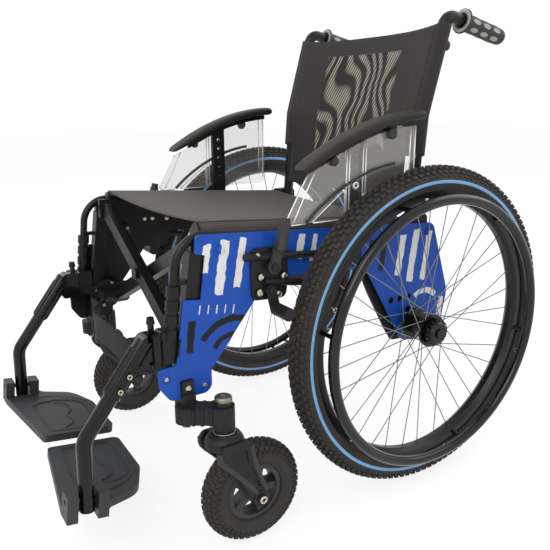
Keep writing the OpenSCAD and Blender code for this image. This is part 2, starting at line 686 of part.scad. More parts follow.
module side_guard() {
    ys = [for (i = [0:9]) mix(-250, -18, i / 9)];
    outline = concat([[-292, 534], [-286, 528], [-24, 526], [-18, 532]], [for (i = [9:-1:0]) [ys[i], pad_under(ys[i]) - 9.4]]);
    ch = arm_size[1] / 2;
    color("#DDE5E8") {
        plate_x(outline, guard_x, guard_x + guard_t);
        // Channel over the post and curved rib along the wheel
        plate_x(rounded([[arm_y - ch - 2, 530, 3], [arm_y + ch + 2, 530, 3], [arm_y + ch + 2, pad_under(arm_y) - 16, 3],
            [arm_y - ch - 2, pad_under(arm_y) - 26, 3]]),
            guard_x + guard_t - 1, guard_x + guard_t + 1.6);
        translate([guard_x + guard_t - 1, 0, axle_z]) rotate([0, 90, 0]) rotate([0, 0, 183]) rotate_extrude(angle = 40)
            translate([316, 0]) square([8, 2.6]);
        for (y = [-205, -60]) translate([arm_x + arm_size[0] / 2 + 0.02, y, pad_under(y) - 13])
            cube([guard_x + 1 - arm_x - arm_size[0] / 2, 12, 8]);
    }
}

module brake_base() {
    color("#1B1C1E") {
        plate_x(rounded([[-352, 408, 10], [-286, 404, 12], [-282, 440, 8], [-284, 492, 8], [-352, 494, 10]]), panel_x, panel_x + 5);
        rod([panel_x + 6.8, -366, 482.5], [panel_x + 6.8, -222, 471], 6);
        rod([panel_x + 6.8, -330, 438], [panel_x + 6.8, -250, 425], 6);
        translate([0, lever_pin[0], lever_pin[1]]) {
            rod_x(9, panel_x, 256.6);
            rod_x(5, panel_x, 264);
            rod_x(7, 263.4, 266);
        }
        translate([0, shoe_pin[0], shoe_pin[1]]) {
            rod_x(8, panel_x, 256.6);
            rod_x(4, panel_x, 263);
            rod_x(6, 262.4, 265);
        }
        for (b = [[-342, 482], [-304, 477], [-336, 447], [-292, 443], [-339, 421], [-303, 413]])
            translate([0, b[0], b[1]]) rod_x(6.4, panel_x, panel_x + 8);
    }
}

module brake_lever() {
    p = lever_pin;
    color("#17181A") difference() {
        union() {
            translate([0, p[0], p[1]]) rod_x(11, 257, 263);
            plate_x([[p[0] - 9, p[1]], [p[0] + 9, p[1]], [p[0] + 22, p[1] + 46], [p[0] + 4, p[1] + 46]], 257, 263);
            rod([269.6, p[0] + 7, p[1] + 30], [269.6, p[0] + 15, p[1] + 72], 9);
            rod([269.6, p[0] + 15, p[1] + 70], [269.6, p[0] + 17, p[1] + 80], 7.4);
        }
        translate([0, p[0], p[1]]) rod_x(5 + run_gap, 250, 280);
    }
}

module brake_shoe() {
    color("#B9BDC1") difference() {
        union() {
            translate([0, shoe_pin[0], shoe_pin[1]]) rod_x(9, 257, 262);
            translate([0, shoe_at[0], shoe_at[1]]) rod_x(9, 257, 262);
            plate_x([[shoe_pin[0] - 8.5, shoe_pin[1] - 2], [shoe_at[0] - 8.5, shoe_at[1] - 2], [shoe_at[0] + 8.5, shoe_at[1] + 2],
                [shoe_pin[0] + 8.5, shoe_pin[1] + 2]], 257, 262);
            translate([0, shoe_at[0], shoe_at[1]]) rod_x(11, 261, 302);
        }
        translate([0, shoe_pin[0], shoe_pin[1]]) rod_x(4 + run_gap, 250, 280);
    }
}

// Screws of the panel and the socket of the armrest
module panel_fittings() {
    gap = 0.4;
    w = arm_size[0] / 2 + gap;
    d = arm_size[1] / 2 + gap;
    color("#9A9C98") {
        for (b = [[-506, 306], [-441, 281], [80, 334], [42, 478], [-70, 486], [-405, 500]])
            translate([panel_x, b[0], b[1]]) rotate([0, 90, 0]) cylinder(r1 = 7, r2 = 4.5, h = 3.4);
        difference() {
            translate([panel_x, arm_y - d - 3, 434]) cube([arm_x + w + 0.3 - panel_x, 2 * d + 6, 72]);
            translate([arm_x - w, arm_y - d, 439.6]) cube([2 * w + 5, 2 * d, 80]);
        }
    }
}

module seat_rail() {
    color("#17181A") rod([rail_x, rail_front, rail_z(rail_front)], [rail_x, rail_back, rail_z(rail_back)], rail_r);
}

// One arm of the cross, from its lower sleeve to the saddle under the opposite seat rail
module brace(planes, sx, pin) {
    d = [2 * pivot_x, 0, pivot_high - pivot_low];
    color("#17181A") mirror([sx, 0, 0]) difference() {
        union() {
            leaning() {
                translate([-pivot_x, 0, pivot_low]) rod_y(brace_half, brace_sleeve[0], brace_sleeve[1]);
                translate([pivot_x, 0, pivot_high]) rod_y(brace_half, planes[0], planes[1]);
                translate([-pivot_x, planes[0], pivot_low]) rotate([0, -atan2(d[2], d[0]), 0])
                    translate([0, 0, -brace_bar]) cube([norm(d), planes[1] - planes[0], 2 * brace_bar]);
                if (pin) translate([0, 0, brace_mid[2]]) {
                    rod_y(brace_pin_r, planes[0] - 4, brace_b_y[1] + 4);
                    rod_y(11, planes[0] - 6, planes[0]);
                    rod_y(11, planes[1], brace_b_y[0] - face_gap);
                    rod_y(10, brace_b_y[1] + face_gap, brace_b_y[1] + 6);
                }
            }
            plate_x([[planes[0], pivot_high - 14], [planes[1], pivot_high - 14], [gusset_back, rail_z(gusset_back) - 9],
                [gusset_back, rail_z(gusset_back)], [planes[0], rail_z(planes[0])]], pivot_x, rail_x - 7);
        }
        leaning() {
            translate([-pivot_x, 0, pivot_low]) rod_y(brace_pin_r + run_gap, brace_sleeve[0] - 1, brace_sleeve[1] + 1);
            if (!pin) translate([0, 0, brace_mid[2]]) rod_y(brace_pin_r + run_gap, planes[0] - 1, planes[1] + 1);
        }
        rod([rail_x, rail_front - 40, rail_z(rail_front - 40)],
            [rail_x, rail_back, rail_z(rail_back)], rail_r + 0.02);
    }
}

module brace_a() {
    brace(brace_a_y, 1, true);
}

module brace_b() {
    brace(brace_b_y, 0, false);
}

// Cloth round two bars at x and -x and slack between them; start is the angle where the wrap begins
function wrap(x, r, sag, start, turns, steps = 10) = let (arc = [for (i = [0:turns]) mix(start, 90, i / turns)])
    concat([for (a = arc) [x + r * cos(a), r * sin(a)]],
        [for (i = [1:steps - 1]) let (t = 1 - 2 * i / steps) [x * t, r - sag * (1 - t * t)]],
        [for (i = [turns:-1:0]) [-x - r * cos(arc[i]), r * sin(arc[i])]]);

module seat_sling() {
    ri = rail_r + 0.35;
    ys = [for (i = [0:8]) mix(rail_front + 5, rail_back - 4, i / 8)];
    color("#5B5950") cloth([for (i = [0:8]) let (y = ys[i], sag = seat_sag * (i == 0 || i == 8 ? 0.8 : 1))
        [for (r = [ri + cloth_t, ri]) [for (p = wrap(rail_x, r, sag, 38, 4)) [p[0], y, rail_z(y) + p[1]]]]]);
}

module back_sling() {
    ri = post_r + 0.8;
    bend = back_points[1][1];
    zs = [back_low, back_low + 40, back_low + 80, back_low + 120, bend - 11, bend, bend + 11, bend + 48, bend + 98,
        back_high];
    color("#2B2D2F") cloth([for (z = zs)
        let (sag = back_sag * (0.75 + 0.25 * sin((z - back_low) / (back_high - back_low) * 180)))
        [for (r = [ri + cloth_t, ri]) [for (p = wrap(back_x, r, sag, -85, 9)) [p[0], back_y(z) - p[1] * 1.03, z]]]]);
}

module calf_strap() {
    half = [[204.2, -480], [204.2, -512], [200, -521], [188, -525], [150, -522], [100, -517], [50, -514]];
    path = concat(half, [[0, -513]], [for (i = [len(half) - 1:-1:0]) [-half[i][0], half[i][1]]]);
    color("#222325") cloth([for (z = [0:3]) [for (s = [1, -1]) [for (i = [0:len(path) - 1])
        let (p = path[i] + path_normal(path, i) * cloth_t / 2 * s) [p[0], p[1], mix(strap_z[0], strap_z[1], z / 3)]]]]);
}

for (s = SIDES) {
    side(s) side_panel();
    side(s) side_frame();
    side(s) back_post();
    side(s) push_grip();
    side(s) brace_bracket();
    side(s) axle();
    side(s) rear_hub();
    side(s) rear_spokes();
    side(s) rear_rim();
    side(s) rear_tyre();
    side(s) handrim();
    side(s) caster_arm();
    side(s) caster_fork();
    side(s) caster_axle();
    side(s) caster_hub();
    side(s) caster_tyre();
    side(s) hanger();
    side(s) leg_tube(s);
    side(s) footplate(s);
    side(s) arm_pad();
    side(s) arm_post();
    side(s) side_guard();
    side(s) brake_base();
    side(s) brake_lever();
    side(s) brake_shoe();
    side(s) panel_fittings();
    side(s) seat_rail();
}
middle() brace_a();
middle() brace_b();
middle() seat_sling();
middle() back_sling();
middle() calf_strap();
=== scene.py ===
import math
from functools import partial

import bmesh
import bpy
from bpy.props import FloatProperty, FloatVectorProperty, IntProperty, PointerProperty
from mathutils import Matrix, Vector


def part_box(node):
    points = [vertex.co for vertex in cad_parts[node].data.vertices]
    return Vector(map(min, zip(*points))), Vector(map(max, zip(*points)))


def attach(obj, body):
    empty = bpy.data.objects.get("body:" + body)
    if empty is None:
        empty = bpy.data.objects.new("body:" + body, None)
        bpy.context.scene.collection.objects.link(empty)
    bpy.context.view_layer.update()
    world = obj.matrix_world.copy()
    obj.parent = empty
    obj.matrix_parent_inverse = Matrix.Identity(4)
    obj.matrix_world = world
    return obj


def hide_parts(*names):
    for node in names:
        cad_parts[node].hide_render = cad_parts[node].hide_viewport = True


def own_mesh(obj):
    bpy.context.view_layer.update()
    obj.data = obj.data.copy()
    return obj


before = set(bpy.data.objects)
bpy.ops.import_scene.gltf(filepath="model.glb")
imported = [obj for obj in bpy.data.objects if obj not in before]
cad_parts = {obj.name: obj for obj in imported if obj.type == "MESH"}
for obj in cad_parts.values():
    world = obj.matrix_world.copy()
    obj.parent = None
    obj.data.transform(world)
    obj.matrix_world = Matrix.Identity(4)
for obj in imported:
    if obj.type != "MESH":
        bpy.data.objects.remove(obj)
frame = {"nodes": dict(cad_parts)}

bl_info = {
    "name": "All Terrain Wheelchair",
    "version": (1, 0, 0),
    "blender": (4, 5, 0),
    "location": "View3D > Sidebar > Wheelchair",
    "description": "Dresses the wheelchair's frame with tyres, cloth, grips, finishes and a studio",
    "category": "Object",
}

MM = 0.001
TURN = 2 * math.pi
SIDES = {"left": 1, "right": -1}
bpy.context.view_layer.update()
ACROSS, UP = Vector((1, 0, 0)), Vector((0, 0, 1))
# Turns a shape round Z into one round the chair's X axis
WHEEL_TURN = Matrix(((0, 0, 1), (0, 1, 0), (-1, 0, 0))).to_4x4()


def tyre_hub(node):
    """Middle and outer radius of one of the frame's tyres."""
    low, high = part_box(node)
    return (low + high) / 2, (high.z - low.z) / 2


AXLE, REAR_R = tyre_hub("left_rear_tyre")
CASTER, CASTER_R = tyre_hub("left_caster_tyre")

# Millimetres from the chair's middle, the rear axle line and the floor; the back posts' line is (z, y)
AXLE_Z = 305
BACK_LINE = [(440, 18), (692, 38), (870, 88)]
HANDLE = (Vector((0, 88, 870)), Vector((0, 236, 836)))
BACK_X, POST_R = 212, 11
RAIL_X, RAIL_Z, RAIL_R, RAIL_FRONT, RAIL_LENGTH = 211, 527, 12.5, -432, 424
SLEEVE_R = RAIL_R + 1
PAD_X, PAD_W, PAD_T, PAD_H, PAD_ENDS = 254, 46, 17, 704, (-264, -4)
PANEL_FACE, INNER_FACE, BRAKE_FACE, GUARD_FACE = 244.8, 240.8, 252, 260.3
CASTER_X, STEM_Y, FORK_AXLE = 284, -428, (-381, 91)
FOOT_X, FOOT_Y, FOOT_Z = 226, -641, {"left": 133, "right": 150}
STRAP_Z = (274, 326)
# Share of a handle that lies before its grip, and how far a seat rail falls for each millimetre
GRIP_START, RAIL_FALL = 0.275, math.tan(math.radians(4.3))


def linear(colour):
    """A colour written as sRGB hex, as the linear values that shaders use."""
    parts = [int(colour[i:i + 2], 16) / 255 for i in (1, 3, 5)]
    return tuple(c / 12.92 if c <= 0.04045 else ((c + 0.055) / 1.055) ** 2.4 for c in parts)


def at(x, y, z):
    """A point in millimetres from the chair's middle, the rear axle line and the floor."""
    return Vector((x, y, z)) * MM + Vector((0, AXLE.y, 0))


def mix(a, b, t):
    return a + (b - a) * t


def steps(count):
    """Even shares from 0 to 1."""
    return [i / count for i in range(count + 1)]


def colour_prop(label, colour, words):
    return FloatVectorProperty(name=label, description=words, subtype="COLOR", size=3, min=0, max=1,
                               default=linear(colour))


def number_prop(label, value, low, high, words, kind=FloatProperty, **more):
    return kind(name=label, description=words, default=value, min=low, max=high, **more)


def size_prop(label, value, low, high, words):
    return number_prop(label, value * MM, low * MM, high * MM, words, unit="LENGTH", precision=4)


class ChairColours(bpy.types.PropertyGroup):
    panel: colour_prop("Side panel", "#1C54BA", "Paint of the side panels")
    stroke_light: colour_prop("Light strokes", "#F2F0EC", "Pale brush strokes on the side panels")
    stroke_dark: colour_prop("Dark strokes", "#0C0D10", "Dark brush strokes on the side panels")
    frame: colour_prop("Frame", "#141213", "Powder coat of the tubes")
    casting: colour_prop("Castings", "#201E1F", "Coat of the caster arms, forks and brackets")
    tyre: colour_prop("Tyre rubber", "#2A2724", "Rubber of all four tyres")
    stripe: colour_prop("Tyre stripe", "#7DB4E8", "Reflective stripe on the rear tyres")
    steel: colour_prop("Bright steel", "#C9CBCC", "Spokes and plated steel")
    bolt: colour_prop("Bolt heads", "#C8BFA8", "Tinted zinc on the bolt heads")
    plastic: colour_prop("Moulded plastic", "#2C2D2F", "Caster wheels and footplates")
    pad: colour_prop("Arm pads", "#2C2925", "Foam skin of the arm pads")
    clear: colour_prop("Clear guard", "#F6F3EC", "Tint of the clear side guards")
    grip: colour_prop("Grip rubber", "#2F302F", "Rubber of the push grips")
    spot: colour_prop("Grip spots", "#A9ACA0", "Pale ovals on the push grips")
    seat: colour_prop("Seat cloth", "#4C4744", "Nylon of the seat sling")
    back: colour_prop("Back cloth", "#322E2E", "Nylon of the back sling")
    mesh: colour_prop("Back mesh", "#B4AE9C", "Lighter lines of the mesh panel")


class TyreSizes(bpy.types.PropertyGroup):
    section: size_prop("Section radius", 23, 18, 26, "Radius of a tyre's round section")
    knob: size_prop("Knob height", 5, 2, 6, "Height of the rear tyres' tread knobs")
    caster_knob: size_prop("Caster knob height", 2.8, 1, 4, "Height of the casters' tread knobs")
    rows: number_prop("Knobs in a row", 124, 60, 160, "Tread knobs round one row of a rear tyre", IntProperty)
    caster_rows: number_prop("Caster knobs in a row", 44, 24, 72, "Tread knobs round one row of a caster",
                             IntProperty)


class ClothSizes(bpy.types.PropertyGroup):
    thick: size_prop("Cloth", 2.4, 1, 4, "Thickness of the sling cloth")
    seat_sag: size_prop("Seat sag", 10, 2, 25, "Sag of the seat sling in the middle")
    back_sag: size_prop("Back sag", 24, 5, 40, "Depth of the back sling in the middle")
    weave: size_prop("Weave pitch", 1.6, 0.8, 4, "Spacing of the cloth's threads")


class StageSettings(bpy.types.PropertyGroup):
    key: number_prop("Key light", 62, 0, 400, "Power of the large soft light", subtype="POWER")
    fill: number_prop("Fill light", 26, 0, 400, "Power of the light from the far side", subtype="POWER")
    sky: number_prop("Sky", 0.55, 0, 2, "Strength of the even light from all round")
    white: number_prop("White", 1.15, 0, 2, "Strength of the floor's white as the camera sees it")
    lens: number_prop("Lens", 42.6, 20, 120, "Focal length of the camera", subtype="DISTANCE_CAMERA")


MATH, RANGE, MIX = "ShaderNodeMath", "ShaderNodeMapRange", "ShaderNodeMix"
NOISE, SPLIT, BUMP = "ShaderNodeTexNoise", "ShaderNodeSeparateXYZ", "ShaderNodeBump"
JOIN, MAPPING, COORDS = "ShaderNodeCombineXYZ", "ShaderNodeMapping", "ShaderNodeTexCoord"
CONE, CYLINDER, LINE = "GeometryNodeMeshCone", "GeometryNodeMeshCylinder", "GeometryNodeMeshLine"
PLACED, COPIED = "GeometryNodeTransform", "GeometryNodeInstanceOnPoints"
PLUS, MINUS, TIMES, OVER, TIMES_PLUS, LARGER, SIZE_OF, SINE, COSINE = [{"operation": name} for name in (
    "ADD", "SUBTRACT", "MULTIPLY", "DIVIDE", "MULTIPLY_ADD", "MAXIMUM", "ABSOLUTE", "SINE", "COSINE")]
BLEND = {"out": 2, "data_type": "RGBA"}
ALL_THREE = slice(0, 3)


def add_node(tree, kind, links=(), out=0, **settings):
    """Adds a node with its settings and links, and gives one of its outputs."""
    made = tree.nodes.new(kind)
    for key, value in settings.items():
        setattr(made, key, value)
    for key, value in links.items() if isinstance(links, dict) else enumerate(links):
        for source in value if isinstance(value, list) else [value]:
            if isinstance(source, bpy.types.NodeSocket):
                tree.links.new(source, made.inputs[key])
            else:
                made.inputs[key].default_value = source
    return made.outputs[out] if made.outputs else made


def emptied(block):
    """Clears the node tree of a material or world, and gives what adds nodes to it."""
    block.use_nodes = True
    block.node_tree.nodes.clear()
    return partial(add_node, block.node_tree)


def shade(colour, share=1.0):
    return (*[min(1.0, c * share) for c in colour[:3]], 1.0)


def finish(inputs):
    """Makes materials with a function that gives the inputs of their Principled shader."""
    def made(name, *values, **constants):
        material = bpy.data.materials.new(name)
        add = emptied(material)
        shader = add("ShaderNodeBsdfPrincipled", inputs(add, *values, **constants))
        add("ShaderNodeOutputMaterial", [shader])
        return material
    return made


@finish
def coated(add, colour, rough, grain, depth, vary=0.18, **constants):
    """Paint, coat or moulding: broad tone changes, and a grain in metres for gloss and height."""
    place = add(COORDS, out="Object")
    broad = add(NOISE, {"Vector": place, "Scale": 7.0, "Detail": 4.0})
    fine = add(NOISE, {"Vector": place, "Scale": 1 / grain, "Detail": 2.0})
    tone = add(RANGE, [broad, 0.35, 0.65])
    both = add(MATH, [broad, fine], **PLUS)
    low, high = shade(colour, 1 - vary), shade(colour, 1 + vary)
    return {"Base Color": add(MIX, {0: tone, 6: low, 7: high}, **BLEND),
            "Roughness": add(RANGE, [both, 0.6, 1.4, rough * 0.8, rough * 1.2]),
            "Normal": add(BUMP, {"Height": fine, "Distance": depth}),
            **{key.replace("_", " "): value for key, value in constants.items()}}


@finish
def plated(add, colour, rough, streak=(1, 1, 12)):
    """Bright metal with fine drawn streaks."""
    drawn = add(MAPPING, {"Vector": add(COORDS, out="Object"), "Scale": streak})
    lines = add(NOISE, {"Vector": drawn, "Scale": 160.0, "Detail": 3.0})
    tone = add(RANGE, [lines, 0.3, 0.7])
    return {"Base Color": add(MIX, {0: tone, 6: shade(colour, 0.82), 7: shade(colour)}, **BLEND),
            "Roughness": add(RANGE, [lines, 0.3, 0.7, rough * 0.75, rough * 1.3]),
            "Metallic": 1.0}


@finish
def rubber(add, colour, dust):
    """Tyre rubber: worn brown dust on a dull black ground."""
    place = add(COORDS, out="Object")
    broad = add(NOISE, {"Vector": place, "Scale": 14.0, "Detail": 5.0})
    fine = add(NOISE, {"Vector": place, "Scale": 420.0, "Detail": 3.0})
    tone = add(RANGE, [fine, 0.35, 0.7])
    ground = add(MIX, {0: tone, 6: shade(colour, 0.75), 7: shade(colour, 1.2)}, **BLEND)
    dusty = add(RANGE, [broad, 0.5, 0.75, 0.0, 0.55])
    return {"Base Color": add(MIX, {0: dusty, 6: ground, 7: dust}, **BLEND),
            "Roughness": add(RANGE, [broad, 0.3, 0.7, 0.62, 0.85]),
            "Normal": add(BUMP, {"Height": fine, "Distance": 0.0002, "Strength": 0.6})}


# Pitch in metres of the net's wavy bands, and of its threads, which are drawn coarser than life to show
BAND_PITCH, THREAD_PITCH = 0.034, 0.0078


def netted(add, ground, colour, u, v, chart, pale, half, low, high):
    """Ground colour with a panel of net over painted shade; two layers of net beat against each other in wavy
    bands.
    """
    drift = add(NOISE, {"Vector": chart, "Scale": 7.5, "Detail": 0.6})
    phase = add(MATH, [u, TURN / BAND_PITCH], **TIMES)
    bands = add(MATH, [add(MATH, [drift, 44.0, phase], **TIMES_PLUS)], **SINE)
    slant = add(MATH, [v, 0.5, u], **TIMES_PLUS)
    hatch = add(MATH, [add(MATH, [slant, TURN / THREAD_PITCH], **TIMES)], **SINE)
    inside = add(RANGE, [add(MATH, [u], **SIZE_OF), half - 0.001, half, 1.0, 0.0])
    for edge, first, last in ((low, 0.0, 1.0), (high, 1.0, 0.0)):
        near = add(RANGE, [v, edge - 0.0005, edge + 0.0005, first, last])
        inside = add(MATH, [inside, near], **TIMES)
    shown = add(MATH, [add(RANGE, [bands, -0.5, 0.7]), add(RANGE, [hatch, -0.5, 0.4, 0.08, 1.0])], **TIMES)
    shown = add(MATH, [add(MATH, [inside, shown], **TIMES), 0.95], **TIMES)
    # Painted shade: inside the panel the ground is darkened for the shade seen through the net
    shade_behind_net = add(MATH, [inside, 0.6], **TIMES)
    ground = add(MIX, {0: shade_behind_net, 6: ground, 7: shade(colour, 0.35)}, **BLEND)
    return add(MIX, {0: shown, 6: ground, 7: shade(pale)}, **BLEND)


@finish
def woven(add, colour, pitch, rough, sheen, net=None):
    """Plain woven cloth on its own UV map in metres; net is a panel's (colour, half width, low, high)."""
    chart = add(COORDS, out="UV")
    u, v, _ = add(SPLIT, [chart], ALL_THREE)
    warp, weft = [add(MATH, [add(MATH, [way, TURN / pitch], **TIMES)], **SINE) for way in (u, v)]
    crossed = add(MATH, [warp, weft], **TIMES)
    threads = add(RANGE, [crossed, -1.0, 1.0])
    broad = add(NOISE, {"Vector": add(COORDS, out="Object"), "Scale": 9.0, "Detail": 4.0})
    tone = add(RANGE, [broad, 0.35, 0.7])
    ground = add(MIX, {0: tone, 6: shade(colour, 0.8), 7: shade(colour, 1.15)}, **BLEND)
    # Painted highlight: the raised crowns of the threads are drawn lighter than the ground
    raised = add(RANGE, [crossed, -1.0, 1.0, 0.0, 0.5])
    ground = add(MIX, {0: raised, 6: ground, 7: shade(colour, 1.35)}, **BLEND)
    if net:
        ground = netted(add, ground, colour, u, v, chart, *net)
    return {"Base Color": ground,
            "Roughness": add(RANGE, [broad, 0.3, 0.7, rough * 0.9, rough * 1.1]),
            "Normal": add(BUMP, {"Height": threads, "Distance": 0.0003, "Strength": 0.5}),
            "Sheen Weight": sheen, "Sheen Roughness": 0.5, "Specular IOR Level": 0.25}


# Brush strokes on the side panel: y, z, lean in degrees, length, width
LIGHT_STROKES = [(-431, 488, 80, 46, 15), (-403, 470, 80, 88, 17), (-370, 474, 80, 82, 13),
                 (-254, 486, 80, 44, 14), (-226, 482, 80, 48, 11), (-26, 441, 82, 76, 15),
                 (6, 436, 82, 104, 17), (40, 432, 82, 96, 14), (86, 316, 84, 52, 15)]
DARK_STROKES = [(-461, 366, 82, 52, 13), (-484, 352, 82, 30, 9), (-70, 450, 82, 66, 14),
                (-100, 462, 82, 36, 10)]
THIN_STROKES = [(-444 + 15 * i, 408 - 2 * i, 80, 15, 2.6) for i in range(5)]
# Brush arcs on the side panel: y, z of the middle, width, radius, first and last angle in degrees
DARK_ARCS = [(-386, 318, 12, 66, 62, 146), (-386, 318, 10, 40, 70, 150)]
LIGHT_ARCS = [(40, 322, 12, 40, 40, 128)]
# Metres: how far a mark's edge fades, and where the panel's black inner coat begins
FADE, PANEL_INSIDE = 0.0007, 0.2412
# Radians over which an arc's ends fade, and how ragged a mark's edge is as a share of its width
ARC_FADE, RAGGED = 0.02, 0.09


@finish
def painted_panel(add, colours):
    """Blue paint outside with loose brush marks in two tones, and a black coat on the inside, darkened below
    the frame's black as painted shade.
    """
    place = add(COORDS, out="Object")
    broad = add(NOISE, {"Vector": place, "Scale": 5.0, "Detail": 3.0})
    fine = add(NOISE, {"Vector": place, "Scale": 900.0, "Detail": 2.0})
    ragged = add(NOISE, {"Vector": place, "Scale": 60.0, "Detail": 3.0})
    combed = add(MAPPING, {"Vector": place, "Scale": (1, 9, 1)})
    dry = add(RANGE, [add(NOISE, {"Vector": combed, "Scale": 45.0, "Detail": 5.0}), 0.3, 0.4, 0.55, 1.0])
    tone = add(RANGE, [broad, 0.35, 0.65])
    paint = add(MIX, {0: tone, 6: shade(colours.panel, 0.9), 7: shade(colours.panel, 1.08)}, **BLEND)
    light, dark = shade(colours.stroke_light), shade(colours.stroke_dark)
    marks = [(*stroke, colour, None) for strokes, colour in (
        (LIGHT_STROKES, light), (DARK_STROKES, dark), (THIN_STROKES, light)) for stroke in strokes]
    marks += [(y, z, 0, 0, width, colour, arc) for arcs, colour in ((LIGHT_ARCS, light), (DARK_ARCS, dark))
              for y, z, width, *arc in arcs]
    for y, z, lean, length, width, colour, arc in marks:
        width *= MM
        local = add(MAPPING, {"Vector": place, "Location": at(0, y, z),
                              "Rotation": (math.radians(lean), 0, 0)}, vector_type="TEXTURE")
        _, along, across = add(SPLIT, [local], ALL_THREE)
        edge = add(RANGE, [ragged, 0.3, 0.7, -RAGGED * width, RAGGED * width])
        if arc:
            radius, first, last = arc
            far = add("ShaderNodeVectorMath", [add(JOIN, [along, across])], "Value", operation="LENGTH")
            angle = add(MATH, [across, along], operation="ARCTAN2")
            across = add(MATH, [far, radius * MM], **MINUS)
            along = add(MATH, [angle, math.radians((first + last) / 2)], **MINUS)
            along = add(MATH, [along], **SIZE_OF)
            reach, soft = math.radians((last - first) / 2), ARC_FADE
        else:
            along = add(MATH, [add(MATH, [along], **SIZE_OF), add(MATH, [edge, 1.6], **TIMES)], **PLUS)
            reach, soft = length * MM / 2, FADE
        across = add(MATH, [add(MATH, [across], **SIZE_OF), edge], **PLUS)
        wide = add(RANGE, [across, width / 2 - FADE, width / 2, 1.0, 0.0])
        long = add(RANGE, [along, reach - soft, reach, 1.0, 0.0])
        laid = add(MATH, [add(MATH, [wide, long], **TIMES), dry], **TIMES)
        paint = add(MIX, {0: laid, 6: paint, 7: colour}, **BLEND)
    # The inside is the black coat at half the frame's black: the coat's own colour with painted shade on the
    # inner faces
    depth = add(MATH, [add(SPLIT, [place])], **SIZE_OF)
    inside = add(RANGE, [depth, PANEL_INSIDE, PANEL_INSIDE + 0.0004, 1.0, 0.0])
    return {"Base Color": add(MIX, {0: inside, 6: paint, 7: shade(colours.frame, 0.5)}, **BLEND),
            "Roughness": add(RANGE, [broad, 0.3, 0.7, 0.34, 0.46]),
            "Normal": add(BUMP, {"Height": fine, "Distance": 0.00004}),
            "Specular IOR Level": 0.28}


@finish
def clear_plastic(add, colour, alpha, glare):
    """Clear sheet whose share of mirror stands for the glare that a see-through share would lose."""
    haze = add(NOISE, {"Vector": add(COORDS, out="Object"), "Scale": 18.0, "Detail": 3.0})
    return {"Base Color": add(MIX, {0: haze, 6: shade(colour, 0.85), 7: shade(colour)}, **BLEND),
            "Roughness": add(RANGE, [haze, 0.3, 0.7, 0.16, 0.28]),
            "Alpha": alpha, "IOR": 1.58, "Metallic": glare}


FINISHES = {}


